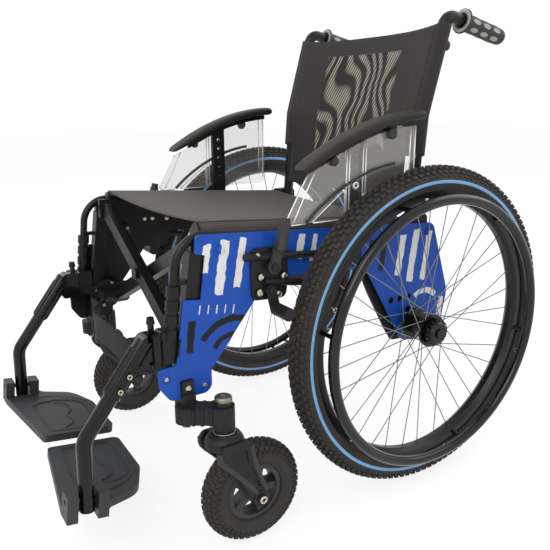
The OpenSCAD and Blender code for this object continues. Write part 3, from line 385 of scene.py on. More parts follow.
def make_finishes(c, weave):
    FINISHES.update({
        # Powder coat flows to an even satin skin with a faint orange peel
        "frame": coated("satin black powder coat", c.frame, 0.36, 0.0011, 0.00006, Specular_IOR_Level=0.3),
        # A coat on a sand casting keeps the sand's grain and looks duller than the tubes
        "casting": coated("black coat on cast aluminium", c.casting, 0.5, 0.0016, 0.00012,
                          Specular_IOR_Level=0.3),
        # Sprayed paint with brushed marks whose ends run dry
        "panel": painted_panel("sprayed panel paint", c),
        # Natural rubber is dull, and road dust browns it in patches
        "tyre": rubber("knobbly tyre rubber", c.tyre, shade(linear("#5B4F41"), 0.8)),
        # A smooth film moulded into the side wall, even and slightly bright
        "stripe": coated("reflective tyre film", c.stripe, 0.35, 0.0007, 0.00003, 0.06),
        # Anodising leaves the drawn metal's shine under the black
        "rim": coated("black anodised aluminium", shade(c.frame, 0.8), 0.3, 0.002, 0.00003, 0.1,
                      Metallic=0.35),
        # A thick stoved coat that hands keep polished, with narrow highlights
        "handrim": coated("gloss black handrim enamel", shade(c.frame, 0.55), 0.14, 0.004, 0.00002, 0.1,
                          Specular_IOR_Level=0.3, Coat_Weight=0.25, Coat_Roughness=0.05),
        # Zinc on drawn steel shows bright, lengthwise streaks
        "steel": plated("zinc plated steel", c.steel, 0.28),
        # Thin drawn wire: its colour is darkened as a painted reflection of its dark surroundings, so it
        # reads darker than a plate
        "spoke": plated("drawn stainless spoke wire", shade(c.steel, 0.42), 0.35),
        # Yellow passivated zinc, turned bright on the heads
        "bolt": plated("passivated zinc bolt", c.bolt, 0.24, (3, 3, 3)),
        # Glass filled nylon has a fine mottled, half dull skin
        "wheel": coated("glass filled nylon wheel", c.plastic, 0.48, 0.0012, 0.00008),
        # Moulded ABS with a sparked grain that scatters the light
        "foot": coated("grained ABS footplate", shade(c.plastic, 1.15), 0.55, 0.0014, 0.0002, 0.14),
        # Polyurethane foam forms its own close, leathery skin
        "pad": coated("self skinned polyurethane", c.pad, 0.5, 0.0009, 0.00012, 0.1, Specular_IOR_Level=0.22),
        # Clear sheet with a slight haze and the studio's glare
        "clear": clear_plastic("clear polycarbonate", c.clear, 0.16, 0.8),
        # Painted highlight: the moulded edges are drawn near-opaque white where they catch the light
        "edge": clear_plastic("polycarbonate edge", shade(c.clear, 1.4), 0.92, 0.3),
        # A clear lacquer over black gives the leg tubes sharp highlights
        "gloss": coated("lacquered black leg coat", shade(c.frame, 0.6), 0.24, 0.0016, 0.00003, 0.12,
                        Specular_IOR_Level=0.22, Coat_Weight=0.22, Coat_Roughness=0.05),
        # Soft moulded rubber, dull with a fine grain
        "grip": coated("push grip rubber", c.grip, 0.62, 0.0008, 0.00012, 0.1),
        # A second, pale rubber moulded into the grip
        "spot": coated("pale grip inlay rubber", c.spot, 0.6, 0.0008, 0.00008, 0.1),
        # Zinc that has dulled in the weather
        "cap": plated("dulled zinc cap", shade(c.bolt, 0.55), 0.42, (3, 3, 3)),
        # Spun polyester, dull and close to the cloth's own tone
        "thread": coated("polyester stitch thread", shade(c.mesh, 0.22), 0.7, 0.0006, 0.00006, 0.15),
        # Sling nylon: a plain weave whose threads show as a fine even grain
        "seat": woven("plain woven seat nylon", c.seat, weave, 0.7, 0.1),
        # The back's nylon with a see-through net sewn into the middle
        "back": woven("woven back nylon and net", c.back, weave, 0.75, 0.06, (c.mesh, 0.118, 0.066, 0.285)),
        # The same nylon without the net, where it wraps the posts
        "sleeve": woven("plain woven back nylon", c.back, weave, 0.75, 0.06),
        # Flat polypropylene webbing with a coarser weave
        "strap": woven("polypropylene webbing", shade(c.frame, 1.6), 0.0024, 0.75, 0.04),
    })


# Finish of each kind of frame node, by the end of its name
NODE_FINISH = {
    "side_panel": "panel", "side_frame": "frame", "back_post": "frame", "brace_bracket": "casting",
    "axle": "casting", "rear_hub": "rim", "rear_spokes": "spoke", "rear_rim": "rim", "handrim": "handrim",
    "caster_arm": "casting", "caster_fork": "casting", "caster_hub": "wheel", "hanger": "gloss",
    "leg_tube": "gloss", "footplate": "foot", "arm_post": "frame", "side_guard": "clear",
    "brake_base": "casting", "brake_lever": "grip", "brake_shoe": "casting", "panel_fittings": "panel",
    "seat_rail": "frame", "brace_a": "frame", "brace_b": "frame",
}


def keep_piece(name, mesh, body, slot, *finishes):
    """A mesh as a piece that rides on a body of the frame; it keeps materials that it already has."""
    piece = bpy.data.objects.new(name, mesh)
    bpy.context.scene.collection.objects.link(piece)
    if not mesh.materials:
        for key in finishes:
            mesh.materials.append(FINISHES[key])
    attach(piece, body)
    return piece


def raw_mesh(points, faces=(), edges=(), smooth=True):
    mesh = bpy.data.meshes.new("made")
    mesh.from_pydata([tuple(p) for p in points], edges, faces)
    mesh.polygons.foreach_set("use_smooth", [smooth] * len(mesh.polygons))
    return mesh


def mended(mesh, weld=0.0):
    """Turns the faces outwards, and joins vertices that lie within weld of each other."""
    work = bmesh.new()
    work.from_mesh(mesh)
    if weld:
        bmesh.ops.remove_doubles(work, verts=work.verts, dist=weld)
    bmesh.ops.recalc_face_normals(work, faces=work.faces)
    work.to_mesh(mesh)
    work.free()
    return mesh


def moved(mesh, matrix):
    mesh.transform(matrix)
    return mesh


def joined(parts):
    """One mesh from (mesh, material index) parts, which are used up; no index keeps the part's own."""
    whole = bmesh.new()
    for mesh, index in parts:
        if index is not None:
            mesh.polygons.foreach_set("material_index", [index] * len(mesh.polygons))
        whole.from_mesh(mesh)
        bpy.data.meshes.remove(mesh)
    made = bpy.data.meshes.new("joined")
    whole.to_mesh(made)
    whole.free()
    return made


def loft(rings, smooth=True):
    """A closed skin over rings of points, with flat ends."""
    n, count = len(rings[0]), len(rings)
    faces = [(j * n + i, j * n + (i + 1) % n, (j + 1) * n + (i + 1) % n, (j + 1) * n + i)
             for j in range(count - 1) for i in range(n)]
    faces += [tuple(range(n)), tuple(range(count * n - n, count * n))]
    return mended(raw_mesh([p for ring in rings for p in ring], faces, smooth=smooth), 1e-6)


def swept(points, fixed, section, smooth=True):
    """A section of (along the fixed direction, across it) pairs drawn along points."""
    rings = []
    for i, p in enumerate(points):
        ahead = (points[min(i + 1, len(points) - 1)] - points[max(i - 1, 0)]).normalized()
        rings.append([p + u * fixed + v * ahead.cross(fixed) for u, v in section])
    return loft(rings, smooth)


def tube(points, radius, sides=10):
    """A round tube along points in one plane of constant X."""
    angles = [TURN * s / sides for s in range(sides)]
    return swept(points, ACROSS, [(radius * math.cos(a), radius * math.sin(a)) for a in angles])


def slab(outline, x0, x1):
    """A flat plate across X with an outline of (y, z) points in millimetres."""
    return loft([[at(x, y, z) for y, z in outline] for x in (x0, x1)], False)


def revolved(profile, count, place, index=None):
    """A closed outline of (radius, height) turned round Z; index gives a material for an outline edge."""
    points, faces = [], []
    n = len(profile)
    for k in range(count):
        a = TURN * k / count
        points += [(r * math.cos(a), r * math.sin(a), h) for r, h in profile]
        m = (k + 1) % count
        faces += [(k * n + i, m * n + i, m * n + (i + 1) % n, k * n + (i + 1) % n) for i in range(n)]
    mesh = raw_mesh(points, faces)
    if index:
        mesh.polygons.foreach_set("material_index", [index(i) for i in range(n)] * count)
    return moved(mended(mesh), place)


def turned(outline, place, share=1.0, count=24):
    """An outline in millimetres turned round the Z axis of a place."""
    return revolved([(r * share * MM, h * share * MM) for r, h in outline], count, place)


def facing(x, y, z, towards):
    """A place whose Z axis points in a direction."""
    return Matrix.Translation(at(x, y, z)) @ Vector(towards).to_track_quat("Z", "Y").to_matrix().to_4x4()


def smooth_line(points, count=6):
    """A rounded line through points in a plane."""
    line = []
    for i in range(len(points) - 1):
        a, b, c, d = [Vector(points[max(0, min(len(points) - 1, i + n))]) for n in (-1, 0, 1, 2)]
        for t in steps(count)[:-1]:
            line.append(0.5 * (2 * b + (c - a) * t + (2 * a - 5 * b + 4 * c - d) * t ** 2
                               + (3 * b - a - 3 * c + d) * t ** 3))
    return line + [Vector(points[-1])]


class Grown:
    """A Geometry Nodes tree with named inputs, turned into plain meshes."""

    def __init__(self, name, inputs):
        self.tree = bpy.data.node_groups.new(name, "GeometryNodeTree")
        socket = self.tree.interface.new_socket
        socket(name="Geometry", in_out="OUTPUT", socket_type="NodeSocketGeometry")
        self.keys = {label: socket(name=label, in_out="INPUT", socket_type="NodeSocket" + kind).identifier
                     for label, kind in inputs.items()}
        self.add = partial(add_node, self.tree)
        self.inputs = self.add("NodeGroupInput", out=slice(0, len(inputs)))

    def finish(self, geometry, material):
        real = self.add("GeometryNodeRealizeInstances", [geometry])
        shown = self.add("GeometryNodeSetMaterial", {"Geometry": real, "Material": material})
        self.add("NodeGroupOutput", [shown])
        return self

    def mesh(self, values, base=None):
        holder = bpy.data.objects.new("grown", base or bpy.data.meshes.new("grown"))
        bpy.context.scene.collection.objects.link(holder)
        change = holder.modifiers.new("grown", "NODES")
        change.node_group = self.tree
        for name, value in values.items():
            change[self.keys[name]] = value
        graph = bpy.context.evaluated_depsgraph_get()
        made = bpy.data.meshes.new_from_object(holder.evaluated_get(graph))
        bpy.data.objects.remove(holder)
        return made


def tread_tree():
    """A ring of tapered knobs that stand on a round section."""
    sizes = ("Length", "Width", "Height", "Ring", "Section", "Lean", "Phase")
    g = Grown("tread row", {"Count": "Int", **{size: "Float" for size in sizes}, "Material": "Material"})
    count, length, width, height, ring, section, lean, phase, material = g.inputs
    block = g.add(CONE, {"Vertices": 4, "Radius Top": 0.55, "Radius Bottom": 0.74, "Depth": 1.0}, "Mesh")
    square = g.add(PLACED, {"Geometry": block, "Rotation": (0, 0, math.pi / 4)})
    sized = g.add(PLACED, {"Geometry": square, "Scale": g.add(JOIN, [width, length, height])})
    out = g.add(MATH, [g.add(MATH, [lean], **COSINE), section, ring], **TIMES_PLUS)
    rise = g.add(MATH, [g.add(MATH, [lean], **SINE), section], **TIMES)
    tip = g.add(MATH, [math.pi / 2, lean], **MINUS)
    stood = g.add(PLACED, {"Geometry": sized, "Translation": g.add(JOIN, {0: out, 2: rise}),
                           "Rotation": g.add(JOIN, {1: tip})})
    line = g.add(LINE, {"Count": count, "Offset": (0, 0, 0)})
    pitch = g.add(MATH, [TURN, count], **OVER)
    step = g.add(MATH, [g.add("GeometryNodeInputIndex"), phase], **PLUS)
    angle = g.add(MATH, [step, pitch], **TIMES)
    copies = g.add(COPIED, {"Points": line, "Instance": stood, "Rotation": g.add(JOIN, {2: angle})})
    return g.finish(copies, material)


def bolt_tree():
    """Domed bolt heads on the vertices of a mesh, all facing one way."""
    g = Grown("bolt heads", {"Points": "Geometry", "Radius": "Float", "Facing": "Vector",
                             "Material": "Material"})
    points, radius, towards, material = g.inputs
    low = g.add(CONE, {"Vertices": 18, "Radius Top": 0.93, "Radius Bottom": 1.0, "Depth": 0.3}, "Mesh")
    dome = g.add(CONE, {"Vertices": 18, "Radius Top": 0.45, "Radius Bottom": 0.93, "Depth": 0.32}, "Mesh")
    high = g.add(PLACED, {"Geometry": dome, "Translation": (0, 0, 0.3)})
    hexagon = g.add(CYLINDER, {"Vertices": 6, "Radius": 0.36, "Depth": 0.06}, "Mesh")
    top = g.add(PLACED, {"Geometry": hexagon, "Translation": (0, 0, 0.63)})
    head = g.add("GeometryNodeJoinGeometry", {0: [low, high, top]})
    copies = g.add(COPIED, {"Points": points, "Instance": head, "Rotation": towards,
                            "Scale": g.add(JOIN, [radius, radius, radius])})
    return g.finish(copies, material)


def stitch_tree():
    """Short threads along the edges of a mesh line."""
    g = Grown("stitch run", {"Path": "Geometry", "Step": "Float", "Thick": "Float", "Material": "Material"})
    path, step, thick, material = g.inputs
    curve = g.add("GeometryNodeMeshToCurve", {"Mesh": path})
    even = g.add("GeometryNodeResampleCurve", {"Curve": curve, "Length": step}, mode="LENGTH")
    lay = g.add("FunctionNodeAlignRotationToVector", {"Vector": g.add("GeometryNodeInputTangent")}, axis="Z")
    long = g.add(MATH, [step, 0.62], **TIMES)
    thread = g.add(CYLINDER, {"Vertices": 6, "Radius": thick, "Depth": long}, "Mesh")
    copies = g.add(COPIED, {"Points": even, "Instance": thread, "Rotation": lay})
    return g.finish(copies, material)


def spot_tree():
    """Oval inlays in rows round a grip."""
    g = Grown("grip spots", {"Rows": "Int", "Around": "Int", "Radius": "Float", "Pitch": "Float",
                             "Oval": "Vector", "Material": "Material"})
    rows, around, radius, pitch, oval, material = g.inputs
    ball = g.add("GeometryNodeMeshUVSphere", {"Segments": 16, "Rings": 8, "Radius": 1.0}, "Mesh")
    spot = g.add(PLACED, {"Geometry": ball, "Translation": g.add(JOIN, [radius]), "Scale": oval})
    line = g.add(LINE, {"Count": g.add(MATH, [rows, around], **TIMES), "Offset": (0, 0, 0)})
    index = g.add("GeometryNodeInputIndex")
    row = g.add(MATH, [g.add(MATH, [index, around], **OVER)], operation="FLOOR")
    lift = g.add(MATH, [row, pitch], **TIMES)
    raised = g.add("GeometryNodeSetPosition", {"Geometry": line, "Offset": g.add(JOIN, {2: lift})})
    angle = g.add(MATH, [index, g.add(MATH, [TURN, around], **OVER)], **TIMES)
    copies = g.add(COPIED, {"Points": raised, "Instance": spot, "Rotation": g.add(JOIN, {2: angle})})
    return g.finish(copies, material)


class WHEELCHAIR_OT_finishes(bpy.types.Operator):
    """Gives every part of the frame its finish"""
    bl_idname = "wheelchair.finishes"
    bl_label = "Finishes"

    def execute(self, context):
        make_finishes(context.scene.chair_colours, context.scene.chair_cloth.weave)
        for name, node in frame["nodes"].items():
            key = next((key for kind, key in NODE_FINISH.items() if name.endswith(kind)), "steel")
            node.data.materials.clear()
            node.data.materials.append(FINISHES[key])
        return {"FINISHED"}


# Degrees to which a tyre's casing reaches from its crown, in so many edges, and the stripe's limits on it
CASING, CASING_EDGES, STRIPE = 128, 72, (83.5, 95.5)
# Rows of knobs on half a tyre: degrees from the crown, length, width, share of the height, phase
REAR_ROWS = [(9.5, 9.5, 6.4, 1, 0), (28, 8.5, 6.6, 0.95, 0.5), (47, 9.5, 6, 0.8, 0), (64, 7, 4, 0.45, 0.5)]
CASTER_ROWS = [(11, 8, 7, 1, 0), (33, 7, 6.5, 1, 0.5), (54, 7, 6, 1, 0), (71, 5, 4, 1, 0.5)]
# Metres by which a knob's foot sinks into the casing
ROOT = 0.0006


def tyre_section(ring, section, bead, floor):
    """Closed outline of a tyre: round casing with fine ridges, and its beads."""
    outline = []
    for t in steps(CASING_EDGES):
        phi = math.radians(mix(-CASING, CASING, t))
        ridge = 0.00025 * math.cos(phi * 90) if 1.75 < abs(phi) < 2.15 else 0.0
        s = section + ridge + (0.0005 if 1.46 < abs(phi) < 1.66 else 0.0)
        outline.append((ring + s * math.cos(phi), s * math.sin(phi)))
    return outline + [(floor, bead), (floor, -bead)]


def stripe_index(i):
    phi = abs(mix(-CASING, CASING, (i + 0.5) / CASING_EDGES))
    return 1 if i < CASING_EDGES and STRIPE[0] < phi < STRIPE[1] else 0


def tyre_mesh(tread, hub, k, radius, section, knob, count, rows, casing):
    """A tyre with its knobs; casing is (half width of the beads, inner radius, steps round, stripe)."""
    place = Matrix.Translation((hub.x * k, hub.y, hub.z)) @ WHEEL_TURN
    ring = radius - knob - section
    bead, floor, around, stripe = casing
    parts = [(revolved(tyre_section(ring, section, bead, floor), around, place, stripe), None)]
    for lean, length, width, share, phase in rows:
        for flank in (-1, 1):
            knobs = tread.mesh({
                "Count": count, "Length": length * MM, "Width": width * MM, "Height": knob * share + ROOT,
                "Ring": ring, "Section": section - ROOT, "Lean": math.radians(lean * flank),
                "Phase": phase + 0.25 * flank, "Material": FINISHES["tyre"]})
            parts.append((moved(knobs, place), 0))
    return joined(parts)


class WHEELCHAIR_OT_rear_tyres(bpy.types.Operator):
    """Knobbly rear tyres with their reflective stripes"""
    bl_idname = "wheelchair.rear_tyres"
    bl_label = "Rear Tyres"

    def execute(self, context):
        sizes, tread = context.scene.chair_tyres, tread_tree()
        for side, k in SIDES.items():
            mesh = tyre_mesh(tread, AXLE, k, REAR_R, sizes.section, sizes.knob, sizes.rows, REAR_ROWS,
                             (0.014, 0.262, 160, stripe_index))
            piece = keep_piece(f"{side}_rear_tyre_knobbly", mesh, f"{side}_rear_wheel", "tyre",
                               "tyre", "stripe")
            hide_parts(f"{side}_rear_tyre")
        return {"FINISHED"}


class WHEELCHAIR_OT_casters(bpy.types.Operator):
    """Knobbly caster tyres"""
    bl_idname = "wheelchair.casters"
    bl_label = "Caster Tyres"

    def execute(self, context):
        sizes, tread = context.scene.chair_tyres, tread_tree()
        for side, k in SIDES.items():
            mesh = tyre_mesh(tread, CASTER, k, CASTER_R, sizes.section, sizes.caster_knob, sizes.caster_rows,
                             CASTER_ROWS, (0.016, 0.0501, 96, None))
            piece = keep_piece(f"{side}_caster_tyre_knobbly", mesh, f"{side}_caster_wheel", "tyre", "tyre")
            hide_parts(f"{side}_caster_tyre")
        return {"FINISHED"}


def back_y(z):
    for (z0, y0), (z1, y1) in zip(BACK_LINE, BACK_LINE[1:]):
        if z <= z1:
            return mix(y0, y1, (z - z0) / (z1 - z0))
    return BACK_LINE[-1][1]


def rail_z(y):
    return RAIL_Z - (y - RAIL_FRONT) * RAIL_FALL


class WHEELCHAIR_OT_grips(bpy.types.Operator):
    """Push grips with their flanges and pale oval inlays"""
    bl_idname = "wheelchair.grips"
    bl_label = "Push Grips"

    def execute(self, context):
        start = mix(*HANDLE, GRIP_START)
        end = (HANDLE[1] - start).length
        along = (HANDLE[1] - HANDLE[0]).normalized()
        turn = Matrix((ACROSS, along.cross(ACROSS), along)).transposed().to_4x4()
        flange = [(11.1, 0), (21.4, 0), (22.6, 1.4), (22.6, 3.6), (21, 5.6), (15.4, 8.4)]
        sleeve = [(15.0 + 0.7 * math.sin(math.pi * t) ** 0.6, mix(10, end - 5, t)) for t in steps(16)]
        tip = [(14.6, end - 1.5), (12.4, end + 2.6), (8.0, end + 4.4), (0.4, end + 5), (0.4, end + 0.3),
               (11.1, end + 0.3)]
        ring = [(14.5, -0.6), (21, -0.6), (21.6, 0.4), (14.5, 0.4)]
        spots = spot_tree()
        spun = Matrix.Translation((0, 0, 0.027)) @ Matrix.Rotation(math.radians(-15), 4, "Z")
        for side, k in SIDES.items():
            place = Matrix.Translation(at(BACK_X * k, start.y, start.z)) @ turn
            inlay = spots.mesh({"Rows": 3, "Around": 6, "Radius": 0.0153, "Pitch": 0.0285,
                                "Oval": (0.0009, 0.0047, 0.0104), "Material": FINISHES["spot"]})
            parts = [(turned(flange + sleeve + tip, place, count=40), 0), (moved(inlay, place @ spun), 1),
                     (turned(ring, place, count=40), 1)]
            piece = keep_piece(f"{side}_push_grip_sleeve", joined(parts), f"{side}_frame", "grip_rubber",
                               "grip", "spot")
            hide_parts(f"{side}_push_grip")
        return {"FINISHED"}


def pad_top(y):
    return PAD_H - 0.00124 * y * y


def pad_thick(y):
    return PAD_T * (1 - 0.5 * (max(0, -196 - y) / 68) ** 2)


def squared(value, power):
    """A sine or cosine pushed outwards, for a section between round and square."""
    return math.copysign(abs(value) ** power, value)


class WHEELCHAIR_OT_arm_pads(bpy.types.Operator):
    """Foam arm pads with soft ends and a drooping nose"""
    bl_idname = "wheelchair.arm_pads"
    bl_label = "Arm Pads"

    def execute(self, context):
        stations = [0.0, 0.004, 0.012, 0.03, 0.06, *[0.1 + 0.8 * t for t in steps(26)],
                    0.94, 0.97, 0.988, 0.996, 1.0]
        around, round_end = 28, 12 / (PAD_ENDS[1] - PAD_ENDS[0])
        for side, k in SIDES.items():
            rings = []
            for t in stations:
                y = mix(*PAD_ENDS, t)
                nose = min(1.0, math.sqrt(1 - max(0.0, 1 - min(t, 1 - t) / round_end) ** 2) + 0.02)
                half_h = pad_thick(y) / 2 * nose
                half_w = PAD_W / 2 * (1 - 0.16 * max(0.0, 1 - t / 0.3) ** 2) * min(1.0, 0.35 + 0.65 * nose)
                middle = pad_top(y) - pad_thick(y) / 2
                section = [(math.cos(TURN * i / around), math.sin(TURN * i / around)) for i in range(around)]
                rings.append([at(k * (PAD_X + half_w * squared(u, 0.62)), y,
                                 middle + half_h * squared(v, 0.75 if v > 0 else 0.5)) for u, v in section])
            pad = loft(rings[::-1])
            piece = keep_piece(f"{side}_arm_pad_foam", pad, f"{side}_armrest", "pad_foam", "pad")
            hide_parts(f"{side}_arm_pad")
        return {"FINISHED"}


def lengths(points):
    """Distance of each point along their line."""
    run = [0.0]
    for a, b in zip(points, points[1:]):
        run.append(run[-1] + (b - a).length)
    return run


def sheet_mesh(rows, kept):
    """A cloth grid with a UV map in metres, measured along and across it, with its flat size and its area."""
    n = len(rows[0])
    faces = [(j * n + i, j * n + i + 1, (j + 1) * n + i + 1, (j + 1) * n + i)
             for j in range(len(rows) - 1) for i in range(n - 1) if kept(j, i)]
    mesh = raw_mesh([p for row in rows for p in row], faces)
    u, v = lengths(rows[len(rows) // 2]), lengths([row[n // 2] for row in rows])
    chart = mesh.uv_layers.new(name="cloth")
    for loop in mesh.loops:
        j, i = divmod(loop.vertex_index, n)
        chart.data[loop.index].uv = (u[i] - u[-1] / 2, v[j])
    area = sum(face.area for face in mesh.polygons)
    trimmed = bmesh.new()
    trimmed.from_mesh(mesh)
    bmesh.ops.delete(trimmed, geom=[p for p in trimmed.verts if not p.link_faces], context="VERTS")
    trimmed.to_mesh(mesh)
    trimmed.free()
    return mesh, (u[-1], v[-1]), area


def hang(name, rows, key, body, slot, thick, stands_for=None, kept=lambda j, i: True):
    """A piece of cloth between or round bars; kept says which faces of its grid stay."""
    mesh, flat, area = sheet_mesh(rows, kept)
    piece = keep_piece(name, mesh, body, slot, key)
    change = piece.modifiers.new("cloth thickness", "SOLIDIFY")
    change.thickness, change.offset = thick, 0
    if stands_for:
        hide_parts(stands_for)
    return piece


# Edges of a wrap round one bar, and of the slack between the bars
ARC, SLACK = 10, 44


def wrap(x, r, sag, start):
    """Line round two bars at x and -x and slack between them, as (x, height) pairs."""
    turns = [math.radians(mix(start, 90, t)) for t in steps(ARC)]
    line = [(x + r * math.cos(a), r * math.sin(a)) for a in turns]
    line += [(x * w, r - sag * (1 - w ** 2)) for w in [1 - 2 * i / SLACK for i in range(1, SLACK)]]
    return line + [(-x - r * math.cos(a), r * math.sin(a)) for a in reversed(turns)]


def sew(name, paths, body, slot):
    """Rows of stitches that ride with a piece of cloth."""
    stitches, parts = stitch_tree(), []
    for path in paths:
        line = raw_mesh(path, edges=[(i, i + 1) for i in range(len(path) - 1)])
        run = stitches.mesh({"Step": 0.0042, "Thick": 0.00042, "Material": FINISHES["thread"]}, line)
        parts.append((run, 0))
    return keep_piece(name, joined(parts), body, slot, "thread")


class WHEELCHAIR_OT_seat(bpy.types.Operator):
    """Seat sling on its two rails"""
    bl_idname = "wheelchair.seat"
    bl_label = "Seat Sling"

    def execute(self, context):
        cloth = context.scene.chair_cloth
        r = RAIL_R + 1.1 + cloth.thick / MM / 2
        count = 40
        depths = [mix(RAIL_FRONT + 5, RAIL_FRONT + RAIL_LENGTH - 4, t) for t in steps(count)]
        rows = []
        for j, y in enumerate(depths):
            sag = cloth.seat_sag / MM * (0.8 + 0.2 * math.sin(math.pi * j / count))
            row = []
            for x, h in wrap(RAIL_X, r, sag, 76):
                ripple = 0.35 * math.sin(x * 0.05 + j * 0.5) * max(0, abs(x) / RAIL_X - 0.55)
                row.append(at(x, y, rail_z(y) + h + ripple))
            rows.append(row)
        piece = hang("seat_sling_cloth", rows, "seat", "seat", "seat_fabric", cloth.thick,
                     "seat_sling")
        turns = [math.radians(150 * t) for t in steps(14)]
        for side, body in (("left", "brace_b"), ("right", "brace_a")):
            k = SIDES[side]
            lines = [[at(k * (RAIL_X + SLEEVE_R * math.cos(a)), y, rail_z(y) + SLEEVE_R * math.sin(a))
                      for a in turns] for y in depths]
            hang(f"{side}_seat_sleeve", lines, "seat", body, "seat_fabric", cloth.thick / 2)
        lift = UP * cloth.thick / 2
        paths = [[p + lift for p in rows[j][11:-11]] for j in (2, count - 2)]
        paths += [[row[i] + lift for row in rows] for i in (13, len(rows[0]) - 14)]
        for part in (piece, sew("seat_sling_stitches", paths, "seat", "seat_fabric")):
            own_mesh(part)
        return {"FINISHED"}


class WHEELCHAIR_OT_back(bpy.types.Operator):
    """Back sling with its mesh panel, round the back posts"""
    bl_idname = "wheelchair.back"
    bl_label = "Back Sling"

    def execute(self, context):
        cloth = context.scene.chair_cloth
        r = POST_R + 1.6 + cloth.thick / MM / 2
        low, high, tight = 532, 845, 1.0
        rows = []
        for t in steps(48):
            row = []
            for x, h in wrap(BACK_X, r, tight, -80):
                edge = min(1.0, abs(x) / BACK_X)
                z = mix(low, high + 8 * edge ** 4, t)
                sag = cloth.back_sag / MM * (0.75 + 0.25 * math.sin((z - low) / 318 * math.pi))
                pull = (sag - tight) * (1 - edge ** 2) if h > 0 and abs(x) < BACK_X else 0.0
                row.append(at(x, back_y(z) - h * 1.03 + pull, z))
            rows.append(row)
        # The lowest rows are cut away next to the posts
        wide, cut = len(rows[0]) - 1, 13
        last = wide - 2 * ARC - 2
        piece = hang("back_sling_cloth", [row[ARC:-ARC] for row in rows], "back", "left_frame", "back_fabric",
                     cloth.thick, "back_sling",
                     lambda j, i: j >= cut or 2 <= i < last)
        for side, columns in (("left", slice(0, ARC + 1)), ("right", slice(wide - ARC, wide + 1))):
            hang(f"{side}_back_sleeve", [row[columns] for row in rows[cut:]], "sleeve", f"{side}_frame",
                 "back_fabric", cloth.thick)
        front = Vector((0, -cloth.thick / 2 - 0.0002, 0))
        left, right = wide // 2 - 12, wide // 2 + 12
        paths = [[row[i] + front for row in rows[10:44]] for i in (left, right)]
        paths += [[p + front for p in rows[j][left:right + 1]] for j in (10, 43)]
        paths += [[row[i] + front for row in rows[cut:]] for k in (12, 14) for i in (k, wide - k)]
        for part in (piece, sew("back_sling_stitches", paths, "left_frame", "back_fabric")):
            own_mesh(part)
        return {"FINISHED"}


# Half of the calf strap's line, from its end at a hanger receiver to the middle: x, y
STRAP_HALF = [(204.2, -478), (203.8, -481.5), (201, -484.6), (196, -486), (180, -486.6), (160, -486.9),
              (144, -487.2), (138, -489), (131, -493.5), (124, -499.5), (116, -505), (106, -509.5),
              (94, -512.4), (78, -513.8), (60, -514), (42, -513.7), (25, -513.3)]


class WHEELCHAIR_OT_calf_strap(bpy.types.Operator):
    """Calf strap between the two hanger receivers"""
    bl_idname = "wheelchair.calf_strap"
    bl_label = "Calf Strap"

    def execute(self, context):
        line = [*STRAP_HALF, (0, -513), *[(-x, y) for x, y in reversed(STRAP_HALF)]]
        rows = [[at(x, y, mix(*STRAP_Z, t)) for x, y in line] for t in steps(10)]
        piece = hang("calf_strap_webbing", rows, "strap", "left_frame", "strap_fabric",
                     context.scene.chair_cloth.thick, "calf_strap")
        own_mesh(piece)
        return {"FINISHED"}


# Outlines to turn, radius and height: a bright screw ring, and a dark disc that is painted shade at the
# bottom of a socket or hole
RING = [(3.2, 0), (7, 0), (7, 2), (6, 3), (3.5, 3)]
SHADE_PLUG = [(0.2, 0), (3.3, 0), (3.3, 1.2), (0.2, 1.2)]


def socket_screw(x, y, z, towards, share=1.0):
    """Parts of a bright socket head, with a dark disc in its recess as painted shade."""
    place = facing(x, y, z, towards)
    return [(turned(RING, place, share), 0), (turned(SHADE_PLUG, place, share), 1)]


class WHEELCHAIR_OT_guard_rims(bpy.types.Operator):
    """Moulded rims of the clear side guards, drawn white as painted highlights"""
    bl_idname = "wheelchair.guard_rims"
    bl_label = "Guard Rims"

    def execute(self, context):
        def under(y):
            return pad_top(y) - pad_thick(y) - 10.4
        low, sill = 528, 526.6
        front = [(-284, 527), (-290, 529), (-292.5, 534)]
        front += [(mix(-292, -253, t), mix(536, under(-253), t)) for t in steps(8)]
        inner = [(mix(-279, -237, t), mix(530, under(-237), t)) for t in steps(8)]
        paths = [front, inner, [(-284, sill), (-256, sill)], [(-31, 560), (-31, under(-31))],
                 [(-20, 540), (-20, under(-20))]]
        paths += [[(y, low), (y, under(y))] for y in (-172, -166, -137, -131)]
        paths += [[(-242, low), (-182, 572), (-178, 574), (-175, 570), (-175, 530)],
                  [(-240, sill), (-177, sill)]]
        bows = [(math.radians(mix(41.5, 78, t)), mix(338, 317, t)) for t in steps(18)]
        arch = [(-r * math.cos(a), AXLE_Z + r * math.sin(a)) for a, r in bows]
        for side, k in SIDES.items():
            face = GUARD_FACE * k
            # The thin tubes and the ring along the moulded edges take the white edge finish: painted
            # highlights
            parts = [(tube([at(face, y, z) for y, z in path], 0.0011), 0) for path in paths]
            parts.append((tube([at(face - k, y, z) for y, z in arch], 0.0032), 1))
            parts.append((turned(RING, facing(261.2 * k, -153, 582, (k, 0, 0)), 0.9), 0))
            for y, r in ((-76, 10), (-200, 8)):
                knob = [(0.2, 0), (r - 0.8, 0), (r, 1.2), (r, 5), (r - 2, 6.6), (0.2, 7)]
                parts.append((turned(knob, facing(259.6 * k, y, under(y) - r + 6, (k, 0, 0))), 1))
            keep_piece(f"{side}_guard_rim", joined(parts), f"{side}_armrest", "guard_clear", "edge", "grip")
        return {"FINISHED"}


